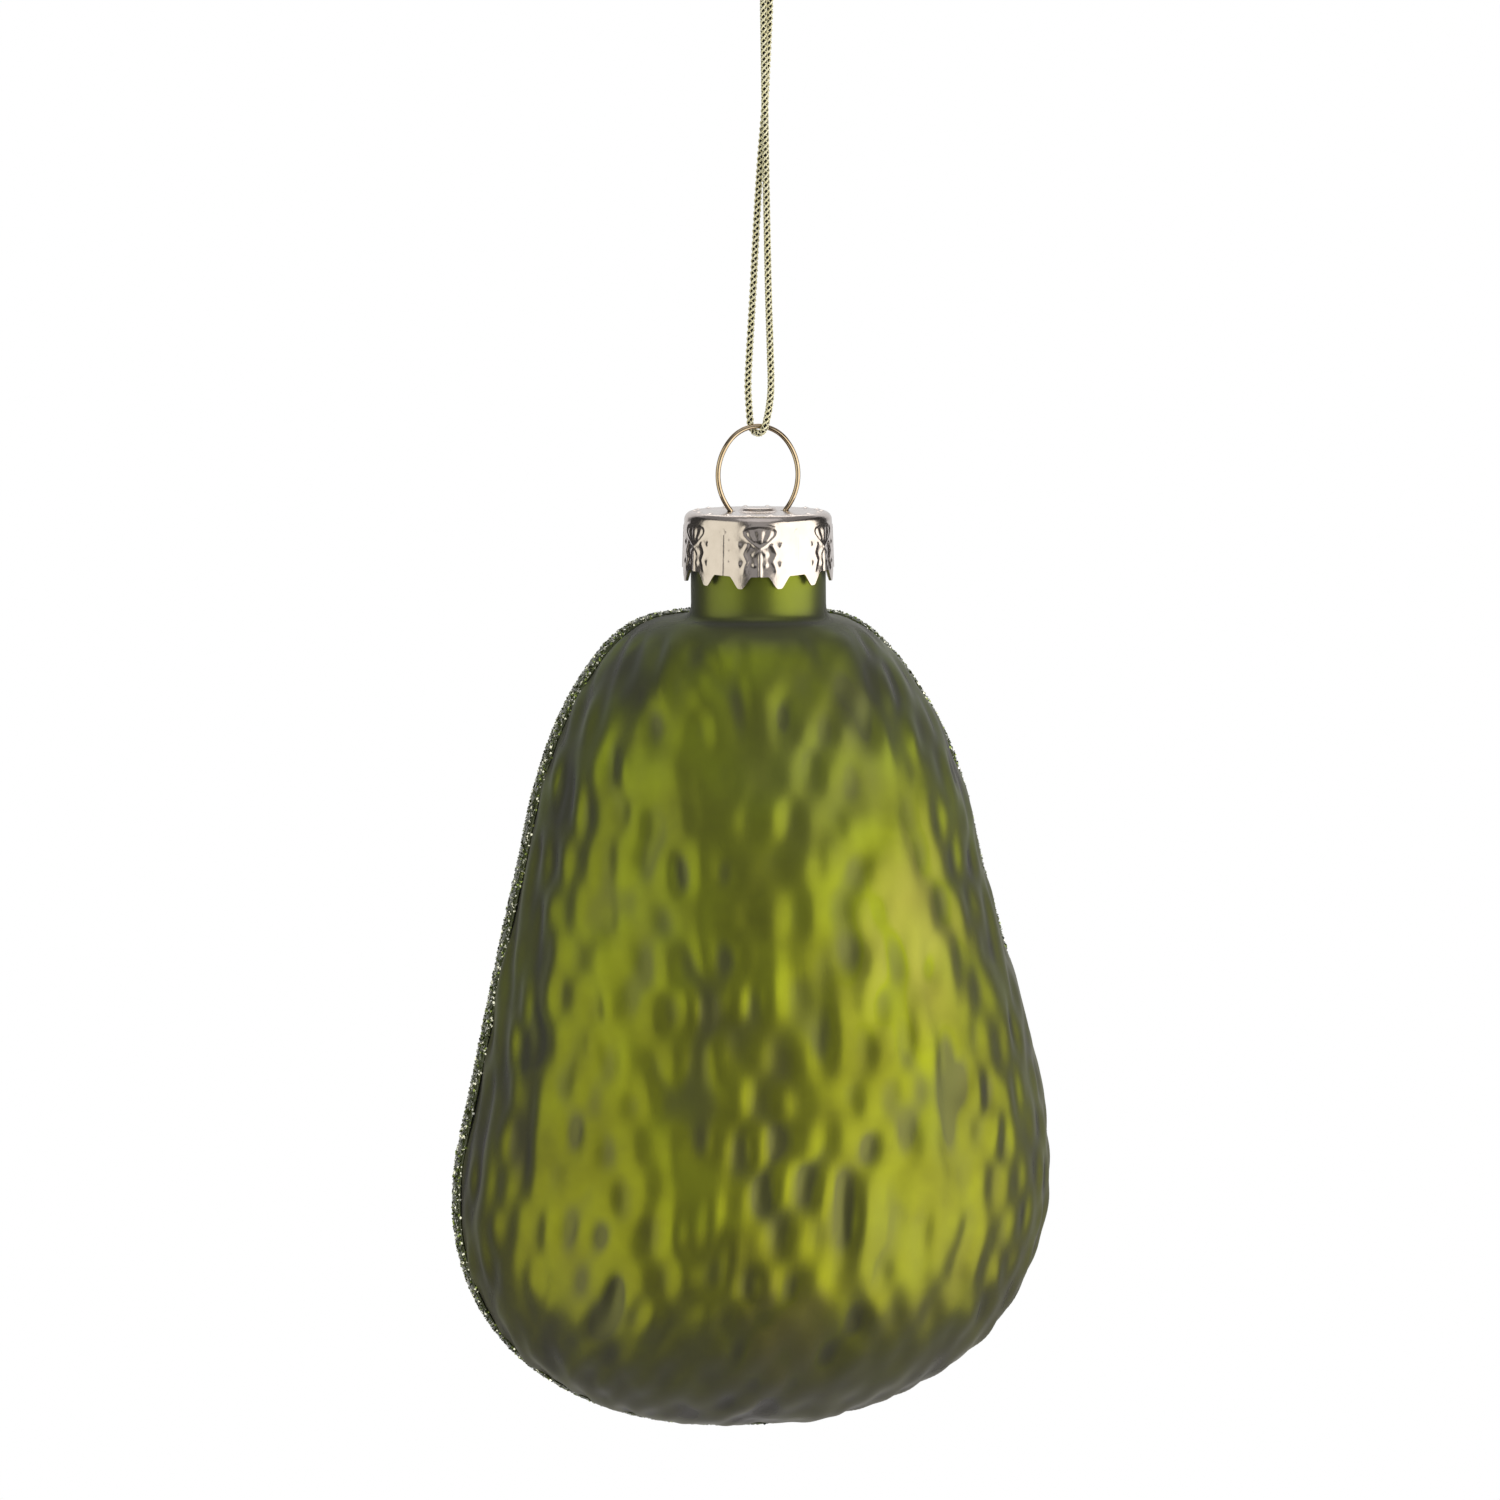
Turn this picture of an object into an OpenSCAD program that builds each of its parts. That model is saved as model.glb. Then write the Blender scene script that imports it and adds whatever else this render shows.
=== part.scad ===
// Half-avocado glass ornament with a crown cap, wire hanger and thread loop.
// Millimetres, +Z up. The origin is the hanging point, under the knot of the thread loop.
// The cut face looks along -Y and the skin along +Y.

/* [Glass body] */
// Full width at the widest level
body_width = 71.6; // [60:0.2:84]
// Height from the lowest point to the foot of the neck
body_height = 98.3; // [90:0.1:120]
// Height of the widest level
widest_height = 30; // [22:0.5:38]
// Height where the flank passes into the shoulder
flank_height = 70.3; // [60:0.1:80]
// Full width at the flank height
flank_width = 54.6; // [46:0.2:62]
// Full width that the shoulder's curve is drawn towards
shoulder_width = 34; // [26:0.5:42]
// Reach of the back from the neck axis at the widest level
back_reach = 24; // [18:0.5:32]
// Reach of the back from the neck axis at the flank height
flank_back = 18.5; // [14:0.5:24]
// Reach that the back shoulder's curve is drawn towards
shoulder_back = 13.5; // [11:0.5:18]
// Reach of the cut face from the neck axis
face_reach = 15; // [12:0.5:20]
// Depth of the rounded edge between the widest line and the cut face
rim_depth = 4; // [2.5:0.25:6]
// Thickness of the blown wall
glass_wall = 1; // [0.6:0.1:1.6]

/* [Pit] */
// Diameter of the pit on the cut face
pit_diameter = 31; // [20:1:40]
// Height of the pit's centre
pit_height = 36; // [28:1:48]
// Rise of the pit above the cut face
pit_rise = 8; // [3:0.5:12]

/* [Neck] */
// Outside diameter of the neck
neck_diameter = 16.2; // [13:0.2:20]
// Length of the neck above the shoulder
neck_length = 12.3; // [9:0.1:15]
// Wall of the neck
neck_wall = 1.1; // [0.8:0.1:1.6]
// Fillet at the foot of the neck
foot_fillet = 1.8; // [0.8:0.1:2.4]

/* [Glitter rim] */
// Width of the line of glitter
glitter_width = 2.6; // [1.6:0.1:4]
// Thickness of the line of glitter
glitter_thickness = 0.7; // [0.3:0.1:1.2]
// Glue gap between the glitter and the glass
glitter_gap = 0.12; // [0.1:0.02:0.2]

/* [Cap] */
// Thickness of the stamped sheet
sheet = 0.3; // [0.2:0.05:0.5]
// Clearance between the neck and the skirt
cap_clearance = 0.45; // [0.3:0.05:0.8]
// Clearance between the neck's lip and the cap's top
seat_clearance = 0.05; // [0.05:0.05:0.2]
// Height of the skirt above its teeth
skirt_height = 7.3; // [5:0.1:9]
// How far the skirt flares out at the hem
hem_flare = 0.27; // [0:0.05:0.6]
// Rounding of the cap's top edge
cap_round = 1; // [0.6:0.1:2]
// Rise of the button pressed into the top
button_rise = 0.45; // [0.2:0.05:0.8]
// Number of teeth on the hem
tooth_count = 12; // [8:1:16]
// Length of a tooth
tooth_length = 1.45; // [0.8:0.05:2.2]
// Width of a tooth where it leaves the skirt
tooth_width = 2.7; // [1.8:0.1:3.2]
// Width of a tooth's blunt tip
tip_width = 0.5; // [0.2:0.1:1]
// Turn of the tooth pattern about the neck, in degrees
crown_turn = -8.5; // [-15:0.5:15]

/* [Hanger] */
// Diameter of the wire
wire_diameter = 0.6; // [0.4:0.05:0.9]
// Radius of the ring's top
ring_top_radius = 4.3; // [3.6:0.1:5.4]
// Radius of the ring's sides
ring_side_radius = 6.7; // [5.8:0.1:8]
// Radius of the bend at the cap
waist_radius = 0.8; // [0.6:0.05:1.2]
// Clearance around the wire in its holes
hole_clearance = 0.25; // [0.15:0.05:0.4]
// Clearance between the sprung legs and the bore of the neck
leg_clearance = 0.28; // [0.2:0.02:0.4]
// Radius of the curl at the end of each leg
curl_radius = 1; // [0.6:0.1:1.4]

/* [Thread] */
// Diameter of the thread
thread_diameter = 0.86; // [0.5:0.02:1]
// Height from the ring's top to the hanging point
thread_reach = 55; // [50:1:80]
// Sideways distance from the hanging point to the neck axis
thread_lean = 1; // [0:0.1:2]
// Diameter of the knot
knot_diameter = 3.6; // [3:0.1:5]
// Height of the knot
knot_height = 3.8; // [3:0.1:6]
// Length of each cut tail above the knot
tail_length = 7; // [3:0.5:15]

/* [Hidden] */
$fn = 64;

// Glass body: a loft of D-shaped sections, three runs from the lowest point to the neck
bottom_power = 2.2;
back_power = 2.3;
face_power = 3;
rim_hold = 6;
flank_lean = 0.18;
widest_pull = 0.21;
flank_pull = 0.1;
shoulder_pull = 0.55;
sides = 64;
outer_levels = [12, 12, 14];
inner_levels = [9, 8, 10];
rim_line = rim_depth - face_reach;
neck_radius = neck_diameter / 2;
bore_radius = neck_radius - neck_wall;
flank_rise = flank_height - widest_height;
shoulder_rise = body_height - flank_height;
pit_ball = (pow(pit_diameter / 2, 2) + pow(pit_rise, 2)) / (2 * pit_rise);

// Stack of heights, from the lowest point of the glass
neck_top = body_height + neck_length;
plate_under = neck_top + seat_clearance;
plate_middle = plate_under + sheet / 2;
plate_top = plate_under + sheet;
hem_level = plate_top - skirt_height;

// Cap
cap_radius = neck_radius + cap_clearance + sheet;
hem_radius = cap_radius + hem_flare;
hole_diameter = wire_diameter + 2 * hole_clearance;

// Hanger: arcs in the XZ plane, each starting where the last one ends
top_turn = 50;
waist_turn = 128;
leg_turn = 73.5;
curl_turn = 140;
waist_centre_drop = 0.14;
joint_swell = 1.04;
wire_radius = wire_diameter / 2;
side_x = (ring_top_radius - ring_side_radius) * sin(top_turn);
waist_x = side_x + (ring_side_radius + waist_radius) * sin(waist_turn);
hole_reach = waist_x - sqrt(pow(waist_radius, 2) - pow(waist_centre_drop, 2));
waist_centre = [waist_x, plate_middle - waist_centre_drop];
side_centre = waist_centre - (ring_side_radius + waist_radius) * heading(waist_turn);
top_centre = side_centre + (ring_side_radius - ring_top_radius) * heading(top_turn);
ring_top = top_centre[1] + ring_top_radius;
leg_start = waist_centre - waist_radius * heading(leg_turn);
leg_end_x = bore_radius - wire_radius - leg_clearance;
leg_length = (leg_end_x - leg_start[0]) / cos(leg_turn);
leg_end = leg_start + leg_length * [cos(leg_turn), -sin(leg_turn)];
curl_centre = leg_end - curl_radius * heading(leg_turn);

// Thread: route from the knot down behind the wire, round it, and up in front, measured from the
// wire's axis at the ring's top
thread_radius = thread_diameter / 2;
thread_sides = 8;
thread_gap = 0.12;
turn_radius = 1.45;
turn_lowest = wire_radius + thread_radius + thread_gap;
turn_side = [-0.5, sqrt(0.75), 0];
back_strand = [[-1.45, -0.3, 55], [-1.45, -0.35, 50], [-1.2, -0.45, 44], [-0.9, -0.5, 38],
               [-0.4, -0.5, 32], [0.05, -0.5, 25], [0.5, -0.65, 16], [0.85, -1, 9],
               [1, -1.2, 5], [0.88, -1.28, 2.5]];
front_strand = [[-1.15, 1.28, 2.5], [-1.36, 1.2, 5], [-1.3, 1.03, 9], [-1.14, 0.7, 16], [-0.98, 0.5, 25],
                [-0.85, 0.5, 32], [-0.75, 0.5, 38], [-0.67, 0.45, 44], [-0.6, 0.35, 50],
                [-0.55, 0.3, 55]];

// Place of the neck axis and of the glass's lowest point under the hanging point
hang_place = [thread_lean, 0, -ring_top - thread_reach];

function bezier(a, b, c, d, t) =
    a * pow(1 - t, 3) + 3 * b * t * pow(1 - t, 2) + 3 * c * t * t * (1 - t) + d * pow(t, 3);

// Unit vector pointing away from an arc's centre after the wire has turned by the angle
function heading(turn) = [sin(turn), cos(turn)];

function arc(centre, radius, from, to, steps) =
    [for (i = [0 : steps]) let (a = from + (to - from) * i / steps)
        centre + radius * [cos(a), sin(a)]];

// A level is [half width, depth behind the rim line, rim line, depth before it, height, blend to the
// neck]. An inset above 0 gives the inside of the wall, and below 0 a skin over the glass.
function bottom_level(t, inset) =
    let (spread = pow(sin(90 * t), 2 / bottom_power), rise = 1 - pow(cos(90 * t), 2 / bottom_power))
    [spread * (body_width / 2 - inset), spread * (back_reach - rim_line - inset), rim_line,
     spread * (rim_depth - inset), inset + (widest_height - inset) * rise, 0];

function flank_level(t, inset) =
    let (w = body_width / 2 - inset, b = back_reach - inset, pull = flank_pull * flank_rise,
         fw = flank_width / 2 - inset, fb = flank_back - inset)
    [bezier(w, w, fw + pull * flank_lean, fw, t),
     bezier(b, b, fb + pull * flank_lean, fb, t) - rim_line, rim_line, rim_depth - inset,
     bezier(widest_height, widest_height + widest_pull * flank_rise, flank_height - pull,
            flank_height, t), 0];

function shoulder_level(t, inset) =
    let (blend = pow(t, rim_hold), end = top_radius(inset), pull = shoulder_pull * shoulder_rise,
         fw = flank_width / 2 - inset, fb = flank_back - inset, top = body_height - inset,
         line = rim_line * (1 - blend), face = (face_reach - inset) * (1 - blend) + end * blend)
    [bezier(fw, fw - pull * flank_lean, shoulder_width / 2 - inset, end, t),
     bezier(fb, fb - pull * flank_lean, shoulder_back - inset, end, t) - line, line, face + line,
     bezier(flank_height, flank_height + pull, top, top, t), blend];

function level(s, inset) =
    s <= 1 ? bottom_level(s, inset)
    : s <= 2 ? flank_level(s - 1, inset)
    : shoulder_level(s - 2, inset);

// The loft ends inside the neck's wall
function top_radius(inset) = neck_radius - neck_wall * (0.2 + 0.6 * inset / glass_wall);

function skin_point(s, a, inset) =
    let (l = level(s, inset), c = cos(a), p = back_power + (2 - back_power) * l[5],
         q = face_power + (2 - face_power) * l[5])
    a <= 180
    ? [l[0] * sign(c) * pow(abs(c), 2 / p), l[2] + l[1] * pow(max(0, sin(a)), 2 / p), l[4]]
    : [l[0] * c, l[2] - l[3] * pow(max(0, 1 - pow(abs(c), q)), 1 / q), l[4]];

// Levels of the loft, from just above the lowest point to the neck
function loft_levels(counts) =
    [for (run = [0 : 2]) for (i = [1 : counts[run]]) run + i / counts[run]];

function loft_points(counts, inset) =
    [for (s = loft_levels(counts)) for (k = [0 : sides - 1]) skin_point(s, 360 * k / sides, inset)];

// Triangles between rings of points, where flip turns them inside out
function ring_faces(rings, count, start, flip) =
    [for (i = [0 : rings - 2]) for (k = [0 : count - 1])
        let (a = start + i * count + k, b = start + i * count + (k + 1) % count)
        each flip ? [[a, b, b + count], [a, b + count, a + count]]
                  : [[a, b + count, b], [a, a + count, b + count]]];

function fan_faces(pole, start, count, flip) =
    [for (k = [0 : count - 1]) let (a = start + k, b = start + (k + 1) % count)
        flip ? [pole, b, a] : [pole, a, b]];

module glass_shell() {
    outer = loft_points(outer_levels, 0);
    inner = loft_points(inner_levels, glass_wall);
    n = len(outer);
    m = len(inner);
    points = concat(outer, inner, [[0, rim_line, 0], [0, rim_line, glass_wall]]);
    top_faces = [for (k = [0 : sides - 1])
        let (a = n - sides + k, b = n - sides + (k + 1) % sides, d = m + k, e = m + (k + 1) % sides)
        each [[a, d + n - sides, e + n - sides], [a, e + n - sides, b]]];
    polyhedron(points, concat(
        ring_faces(n / sides, sides, 0, false), fan_faces(n + m, 0, sides, false),
        ring_faces(m / sides, sides, n, true), fan_faces(n + m + 1, n, sides, true), top_faces),
        convexity = 6);
}

// Tube of the neck with its fillet, drawn from the bore round the lip to the foot
module neck_tube() {
    lip = neck_wall / 2;
    foot = body_height - 0.2 * glass_wall;
    root = body_height - 0.7 * glass_wall;
    rotate_extrude()
        polygon(concat(
            [[bore_radius, root]],
            arc([bore_radius + lip, neck_top - lip], lip, 180, 0, 8),
            arc([neck_radius + foot_fillet, foot + foot_fillet], foot_fillet, 180, 270, 8),
            [[neck_radius + foot_fillet, root]]));
}

// Cap of a ball that stands out of the cut face, down to a depth behind the face
module pit_dome(inset, depth) {
    reach = 2 * pit_ball;
    intersection() {
        translate([0, pit_ball - pit_rise - face_reach, pit_height])
            sphere(r = pit_ball - inset);
        translate([-reach / 2, depth - face_reach - reach, pit_height - reach / 2])
            cube(reach);
    }
}

module glass_body() {
    color("olivedrab") translate(hang_place)
        difference() {
            union() {
                glass_shell();
                neck_tube();
                pit_dome(0, glass_wall / 2);
            }
            pit_dome(glass_wall, 2 * glass_wall);
        }
}

// Half width of the glass where the plane at y cuts it
function rim_x(s, y, inset) =
    let (l = level(s, inset), d = y - l[2], p = back_power + (2 - back_power) * l[5],
         q = face_power + (2 - face_power) * l[5])
    d > 0 ? l[0] * pow(max(0, 1 - pow(d / l[1], p)), 1 / p)
    : l[0] * pow(max(0, 1 - pow(-d / l[3], q)), 1 / q);

function rim_lowest(y, inset) =
    let (d = y - rim_line, share = d > 0 ? d / (back_reach - rim_line - inset) : -d / (rim_depth - inset))
    asin(pow(share, bottom_power / 2)) / 90;

function rim_highest(y, inset) =
    2 + pow((face_reach - inset + y) / (face_reach - inset - top_radius(inset)), 1 / rim_hold);

// Closed loop on the glass in the plane at y, up one side and down the other
function rim_loop(y, inset, steps) =
    let (low = rim_lowest(y, inset), high = rim_highest(y, inset),
         up = [for (k = [0 : steps]) let (s = low + (high - low) * (1 - cos(180 * k / steps)) / 2)
             [k == 0 || k == steps ? 0 : rim_x(s, y, inset), y, level(s, inset)[4]]])
    concat(up, [for (k = [steps - 1 : -1 : 1]) [-up[k][0], y, up[k][2]]]);

module glitter_rim() {
    steps = 44;
    crown = 6;
    middle = rim_line - 0.1 * glitter_width;
    section = concat(
        [for (k = [0 : crown]) let (a = 180 * k / crown)
            [middle + glitter_width / 2 * cos(a), glitter_gap + glitter_thickness * sin(a)]],
        [for (k = [-1 : 1]) [middle + glitter_width / 4 * k, glitter_gap]]);
    count = 2 * steps;
    points = [for (p = section) each rim_loop(p[0], -p[1], steps)];
    faces = [for (i = [0 : len(section) - 1]) for (k = [0 : count - 1])
        let (j = (i + 1) % len(section), a = i * count + k, b = i * count + (k + 1) % count,
             d = j * count + k, e = j * count + (k + 1) % count)
        each [[a, b, e], [a, e, d]]];
    color("darkseagreen") translate(hang_place)
        polyhedron(points, faces, convexity = 8);
}

// Gap between two teeth, cut through the skirt from outside and on past the hem
module tooth_gap() {
    pitch = 2 * PI * hem_radius / tooth_count;
    depth = tooth_length + sheet;
    lean = (tooth_width - tip_width) / 2 / tooth_length;
    top = (pitch - tooth_width) / 2;
    foot = top + lean * depth;
    translate([0, 0, hem_level])
        rotate([90, 0, 0])
            linear_extrude(hem_radius + cap_clearance)
                polygon([[top, 0], [-top, 0], [-foot, -depth], [foot, -depth]]);
}

module cap() {
    button = hole_reach - hole_diameter / 2 - sheet;
    corner = [cap_radius - cap_round, plate_top - cap_round];
    hem = hem_level - tooth_length;
    color("wheat") translate(hang_place)
        difference() {
            rotate_extrude()
                polygon(concat(
                    [[0, plate_top + button_rise], [button - button_rise, plate_top + button_rise],
                     [button, plate_top]],
                    arc(corner, cap_round, 90, 0, 6),
                    [[hem_radius, hem], [hem_radius - sheet, hem]],
                    arc(corner, cap_round - sheet, 0, 90, 6),
                    [[button - sheet / 2, plate_under],
                     [button - button_rise - sheet / 2, plate_under + button_rise],
                     [0, plate_under + button_rise]]));
            for (side = [-1, 1])
                translate([side * hole_reach, 0, plate_under - sheet])
                    cylinder(d = hole_diameter, h = 3 * sheet);
            for (i = [0 : tooth_count - 1])
                rotate([0, 0, crown_turn + 360 * i / tooth_count])
                    tooth_gap();
        }
}

// Arc of wire in the XZ plane, between two angles measured from +X towards +Z
module wire_arc(centre, radius, from, to) {
    translate([centre[0], 0, centre[1]])
        rotate([90, 0, 0])
            rotate([0, 0, from])
                rotate_extrude(angle = to - from)
                    translate([radius, 0])
                        circle(d = wire_diameter);
}

// Ball that closes the joint between two runs of wire, a shade thicker so that it cuts both
module wire_joint(place) {
    translate([place[0], 0, place[1]])
        sphere(d = wire_diameter * joint_swell);
}

module hanger_side() {
    wire_joint(side_centre + ring_side_radius * heading(top_turn));
    wire_arc(side_centre, ring_side_radius, 90 - waist_turn, 90 - top_turn);
    wire_joint(side_centre + ring_side_radius * heading(waist_turn));
    wire_arc(waist_centre, waist_radius, 270 - waist_turn, 270 - leg_turn);
    wire_joint(leg_start);
    translate([leg_start[0], 0, leg_start[1]])
        rotate([0, 90 + leg_turn, 0])
            cylinder(d = wire_diameter, h = leg_length);
    wire_joint(leg_end);
    wire_arc(curl_centre, curl_radius, 90 - curl_turn, 90 - leg_turn);
}

module hanger_wire() {
    color("goldenrod") translate(hang_place) {
        wire_arc(top_centre, ring_top_radius, 90 - top_turn, 90 + top_turn);
        hanger_side();
        mirror([1, 0, 0]) hanger_side();
    }
}

// Turn of the thread round the wire
function thread_turn() =
    [for (a = [-75 : 25 : 75])
        turn_radius * sin(a) * turn_side + [0, 0, turn_radius * (1 - cos(a)) - turn_lowest]];

function curve_point(p, i, t) =
    let (a = p[max(0, i - 1)], b = p[i], c = p[i + 1], d = p[min(len(p) - 1, i + 2)])
    0.5 * (2 * b + (c - a) * t + (2 * a - 5 * b + 4 * c - d) * t * t
           + (3 * b - a - 3 * c + d) * t * t * t);

function smooth_route(p) =
    [for (i = [0 : len(p) - 2]) let (parts = norm(p[i + 1] - p[i]) > 2 * thread_diameter ? 3 : 1)
        for (k = [0 : parts - 1]) curve_point(p, i, k / parts),
     p[len(p) - 1]];

function unit(v) = v / norm(v);

// One closed tube along a route, with its rings kept square to a fixed side direction
module tube(route, radius, side) {
    last = len(route) - 1;
    points = [for (i = [0 : last])
        let (along = i == 0 ? [0, 0, -1] : i == last ? [0, 0, 1] : unit(route[i + 1] - route[i - 1]),
             across = unit(side - (side * along) * along), up = cross(along, across))
        for (k = [0 : thread_sides - 1]) let (a = 360 * k / thread_sides)
            route[i] + radius * (cos(a) * across + sin(a) * up)];
    ends = [[for (k = [0 : thread_sides - 1]) k],
            [for (k = [thread_sides - 1 : -1 : 0]) last * thread_sides + k]];
    polyhedron(points, concat(ring_faces(last + 1, thread_sides, 0, false), ends), convexity = 6);
}

module thread() {
    shift = [0, 0, thread_reach - back_strand[0][2]];
    route = concat([for (p = back_strand) p[2] > turn_radius * 3 ? p + shift : p], thread_turn(),
                   [for (p = front_strand) p[2] > turn_radius * 3 ? p + shift : p]);
    color("khaki") translate([thread_lean, 0, -thread_reach])
        tube(smooth_route(route), thread_radius, [turn_side[1], -turn_side[0], 0]);
}

module thread_knot() {
    knot_radius = knot_diameter / 2;
    edge = knot_radius / 2;
    tail_lean = 12;
    color("darkkhaki") {
        rotate_extrude()
            polygon(concat([[0, 0]], arc([knot_radius - edge, edge], edge, -90, 0, 6),
                           arc([knot_radius - edge, knot_height - edge], edge, 0, 90, 6),
                           [[0, knot_height]]));
        for (side = [-1, 1])
            translate([side * thread_diameter * 0.6, 0, knot_height - edge])
                rotate([0, side * tail_lean, 0])
                    cylinder(d = thread_diameter, h = tail_length + edge);
    }
}

glass_body();
glitter_rim();
cap();
hanger_wire();
thread();
thread_knot();
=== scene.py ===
import math
from functools import partial
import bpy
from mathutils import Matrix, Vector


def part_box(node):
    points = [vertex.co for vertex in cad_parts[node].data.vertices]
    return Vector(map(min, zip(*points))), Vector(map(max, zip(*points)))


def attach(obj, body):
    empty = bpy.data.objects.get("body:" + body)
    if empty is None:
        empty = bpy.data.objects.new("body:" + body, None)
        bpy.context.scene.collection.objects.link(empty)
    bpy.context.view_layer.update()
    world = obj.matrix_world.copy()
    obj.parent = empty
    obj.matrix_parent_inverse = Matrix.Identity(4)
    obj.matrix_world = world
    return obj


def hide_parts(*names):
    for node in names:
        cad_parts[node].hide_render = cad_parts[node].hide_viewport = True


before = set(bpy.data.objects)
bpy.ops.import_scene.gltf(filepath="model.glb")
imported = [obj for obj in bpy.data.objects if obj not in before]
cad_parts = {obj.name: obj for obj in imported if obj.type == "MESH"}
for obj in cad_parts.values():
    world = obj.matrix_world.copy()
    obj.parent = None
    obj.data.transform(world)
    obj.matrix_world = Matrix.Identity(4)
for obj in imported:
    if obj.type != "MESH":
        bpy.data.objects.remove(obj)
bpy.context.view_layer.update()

from types import SimpleNamespace

import bpy
import numpy as np
from bpy.props import FloatProperty, FloatVectorProperty, IntProperty, PointerProperty
from mathutils import Vector
from mathutils.kdtree import KDTree

bl_info = {
    "name": "Avocado ornament",
    "version": (1, 0, 0),
    "blender": (4, 5, 0),
    "location": "3D View > Sidebar > Ornament",
    "description": "Pebbled glass, glitter rim, stamped cap, wire hanger and braided thread "
                   "of a hanging ornament",
    "category": "Add Mesh",
}

MM = 0.001
NECK_X = (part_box("cap")[0].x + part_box("cap")[1].x) / 2 / MM
GLASS_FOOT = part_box("glass_body")[0].z / MM
NECK_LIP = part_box("glass_body")[1].z / MM
HEM_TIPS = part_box("cap")[0].z / MM


def linear(code):
    """Linear colour of an sRGB hex code."""
    values = [int(code[i:i + 2], 16) / 255 for i in (1, 3, 5)]
    return tuple(v / 12.92 if v <= 0.04045 else ((v + 0.055) / 1.055) ** 2.4 for v in values)


def length(name, value, description):
    return FloatProperty(name=name, description=description, default=value * MM, min=0.0,
                         unit="LENGTH", precision=5)


def colour(name, code, description):
    return FloatVectorProperty(name=name, description=description, default=linear(code), size=3,
                               min=0.0, max=1.0, subtype="COLOR")


def millimetres(settings):
    """A group of settings, with its lengths in millimetres."""
    return SimpleNamespace(**{
        name: getattr(settings, name) / MM if kind.unit == "LENGTH" else getattr(settings, name)
        for name, kind in settings.bl_rna.properties.items()})


class GlassSettings(bpy.types.PropertyGroup):
    """Sizes and colours of the blown glass."""
    body_width: length("Body width", 71.6, "Full width at the widest level")
    body_height: length("Body height", 98.3, "Height from the lowest point to the foot of the neck")
    widest_height: length("Widest height", 30, "Height of the widest level")
    flank_height: length("Flank height", 70.3, "Height where the flank passes into the shoulder")
    flank_width: length("Flank width", 54.6, "Full width at the flank height")
    shoulder_width: length("Shoulder width", 34, "Full width that the shoulder is drawn towards")
    back_reach: length("Back reach", 24, "Reach of the skin side at the widest level")
    flank_back: length("Flank back", 18.5, "Reach of the skin side at the flank height")
    shoulder_back: length("Shoulder back", 13.5, "Reach that the back shoulder is drawn towards")
    face_reach: length("Face reach", 15, "Reach of the cut face from the neck axis")
    rim_depth: length("Rim depth", 4, "Depth of the rounded edge of the cut face")
    wall: length("Wall", 1, "Thickness of the blown wall")
    pit_diameter: length("Pit diameter", 31, "Diameter of the pit on the cut face")
    pit_height: length("Pit height", 36, "Height of the pit's centre")
    pit_rise: length("Pit rise", 8, "Rise of the pit above the cut face")
    neck_diameter: length("Neck diameter", 16.2, "Outside diameter of the neck")
    neck_wall: length("Neck wall", 0.95, "Wall of the neck")
    foot_fillet: length("Foot fillet", 1.8, "Fillet at the foot of the neck")
    pebble_width: length("Pebble width", 2.6, "Width of one pebble or dent of the skin")
    pebble_height: length("Pebble height", 5.5, "Height of one pebble or dent of the skin")
    pebble_relief: length("Pebble relief", 0.66, "Height of a pebble over the dents beside it")
    lacquer: colour("Lacquer", "#91960C", "Green lacquer over the silvering")
    lacquer_thin: colour("Thin lacquer", "#6F750A", "Lacquer where the spray was thinner")
    # The grey-green below darkens the dents and is also painted shade under the neck, on the neck
    # and in patches; the pale lacquer after it is a painted highlight
    dent_and_painted_shade: colour("Patina", "#616330", "Grey-green wash that settled in the dents")
    painted_highlight_tint: colour("Bloom", "#919032", "Pale lacquer where the wash was wiped off")
    flesh: colour("Flesh", "#EDE3A0", "Paint in the middle of the cut face")
    flesh_edge: colour("Flesh edge", "#93AD3C", "Paint next to the rim")
    pit: colour("Pit", "#6B3A1B", "Paint of the pit")
    pit_dark: colour("Dark pit", "#3B1D0E", "Darker strokes on the pit")
    silvering: colour("Silvering", "#D9D9D6", "Mirror coat inside the glass")


class GlitterSettings(bpy.types.PropertyGroup):
    """Sizes and colours of the glitter rim."""
    width: length("Width", 2.6, "Width of the line of glitter")
    thickness: length("Thickness", 0.7, "Thickness of the line of glitter")
    gap: length("Glue gap", 0.12, "Gap between the glitter and the glass")
    flake: length("Flake", 0.34, "Width across one flake")
    flakes: IntProperty(name="Flakes", description="Number of glitter flakes", default=12000,
                        min=1)
    glue: colour("Glue", "#454B2C", "Tinted glue under the flakes")
    # The pale flakes are painted glints and the dark flakes painted shade, each flake taking one of
    # the three tints at random; the dark tint also colours the glue's lumps
    painted_glint_flake: colour("Pale flake", "#FFFFF0", "Palest flakes")
    green: colour("Green flake", "#8FA055", "Greenest flakes")
    painted_shade_flake_and_glue: colour("Dark flake", "#39411F", "Flakes that face away from the light")


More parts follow.
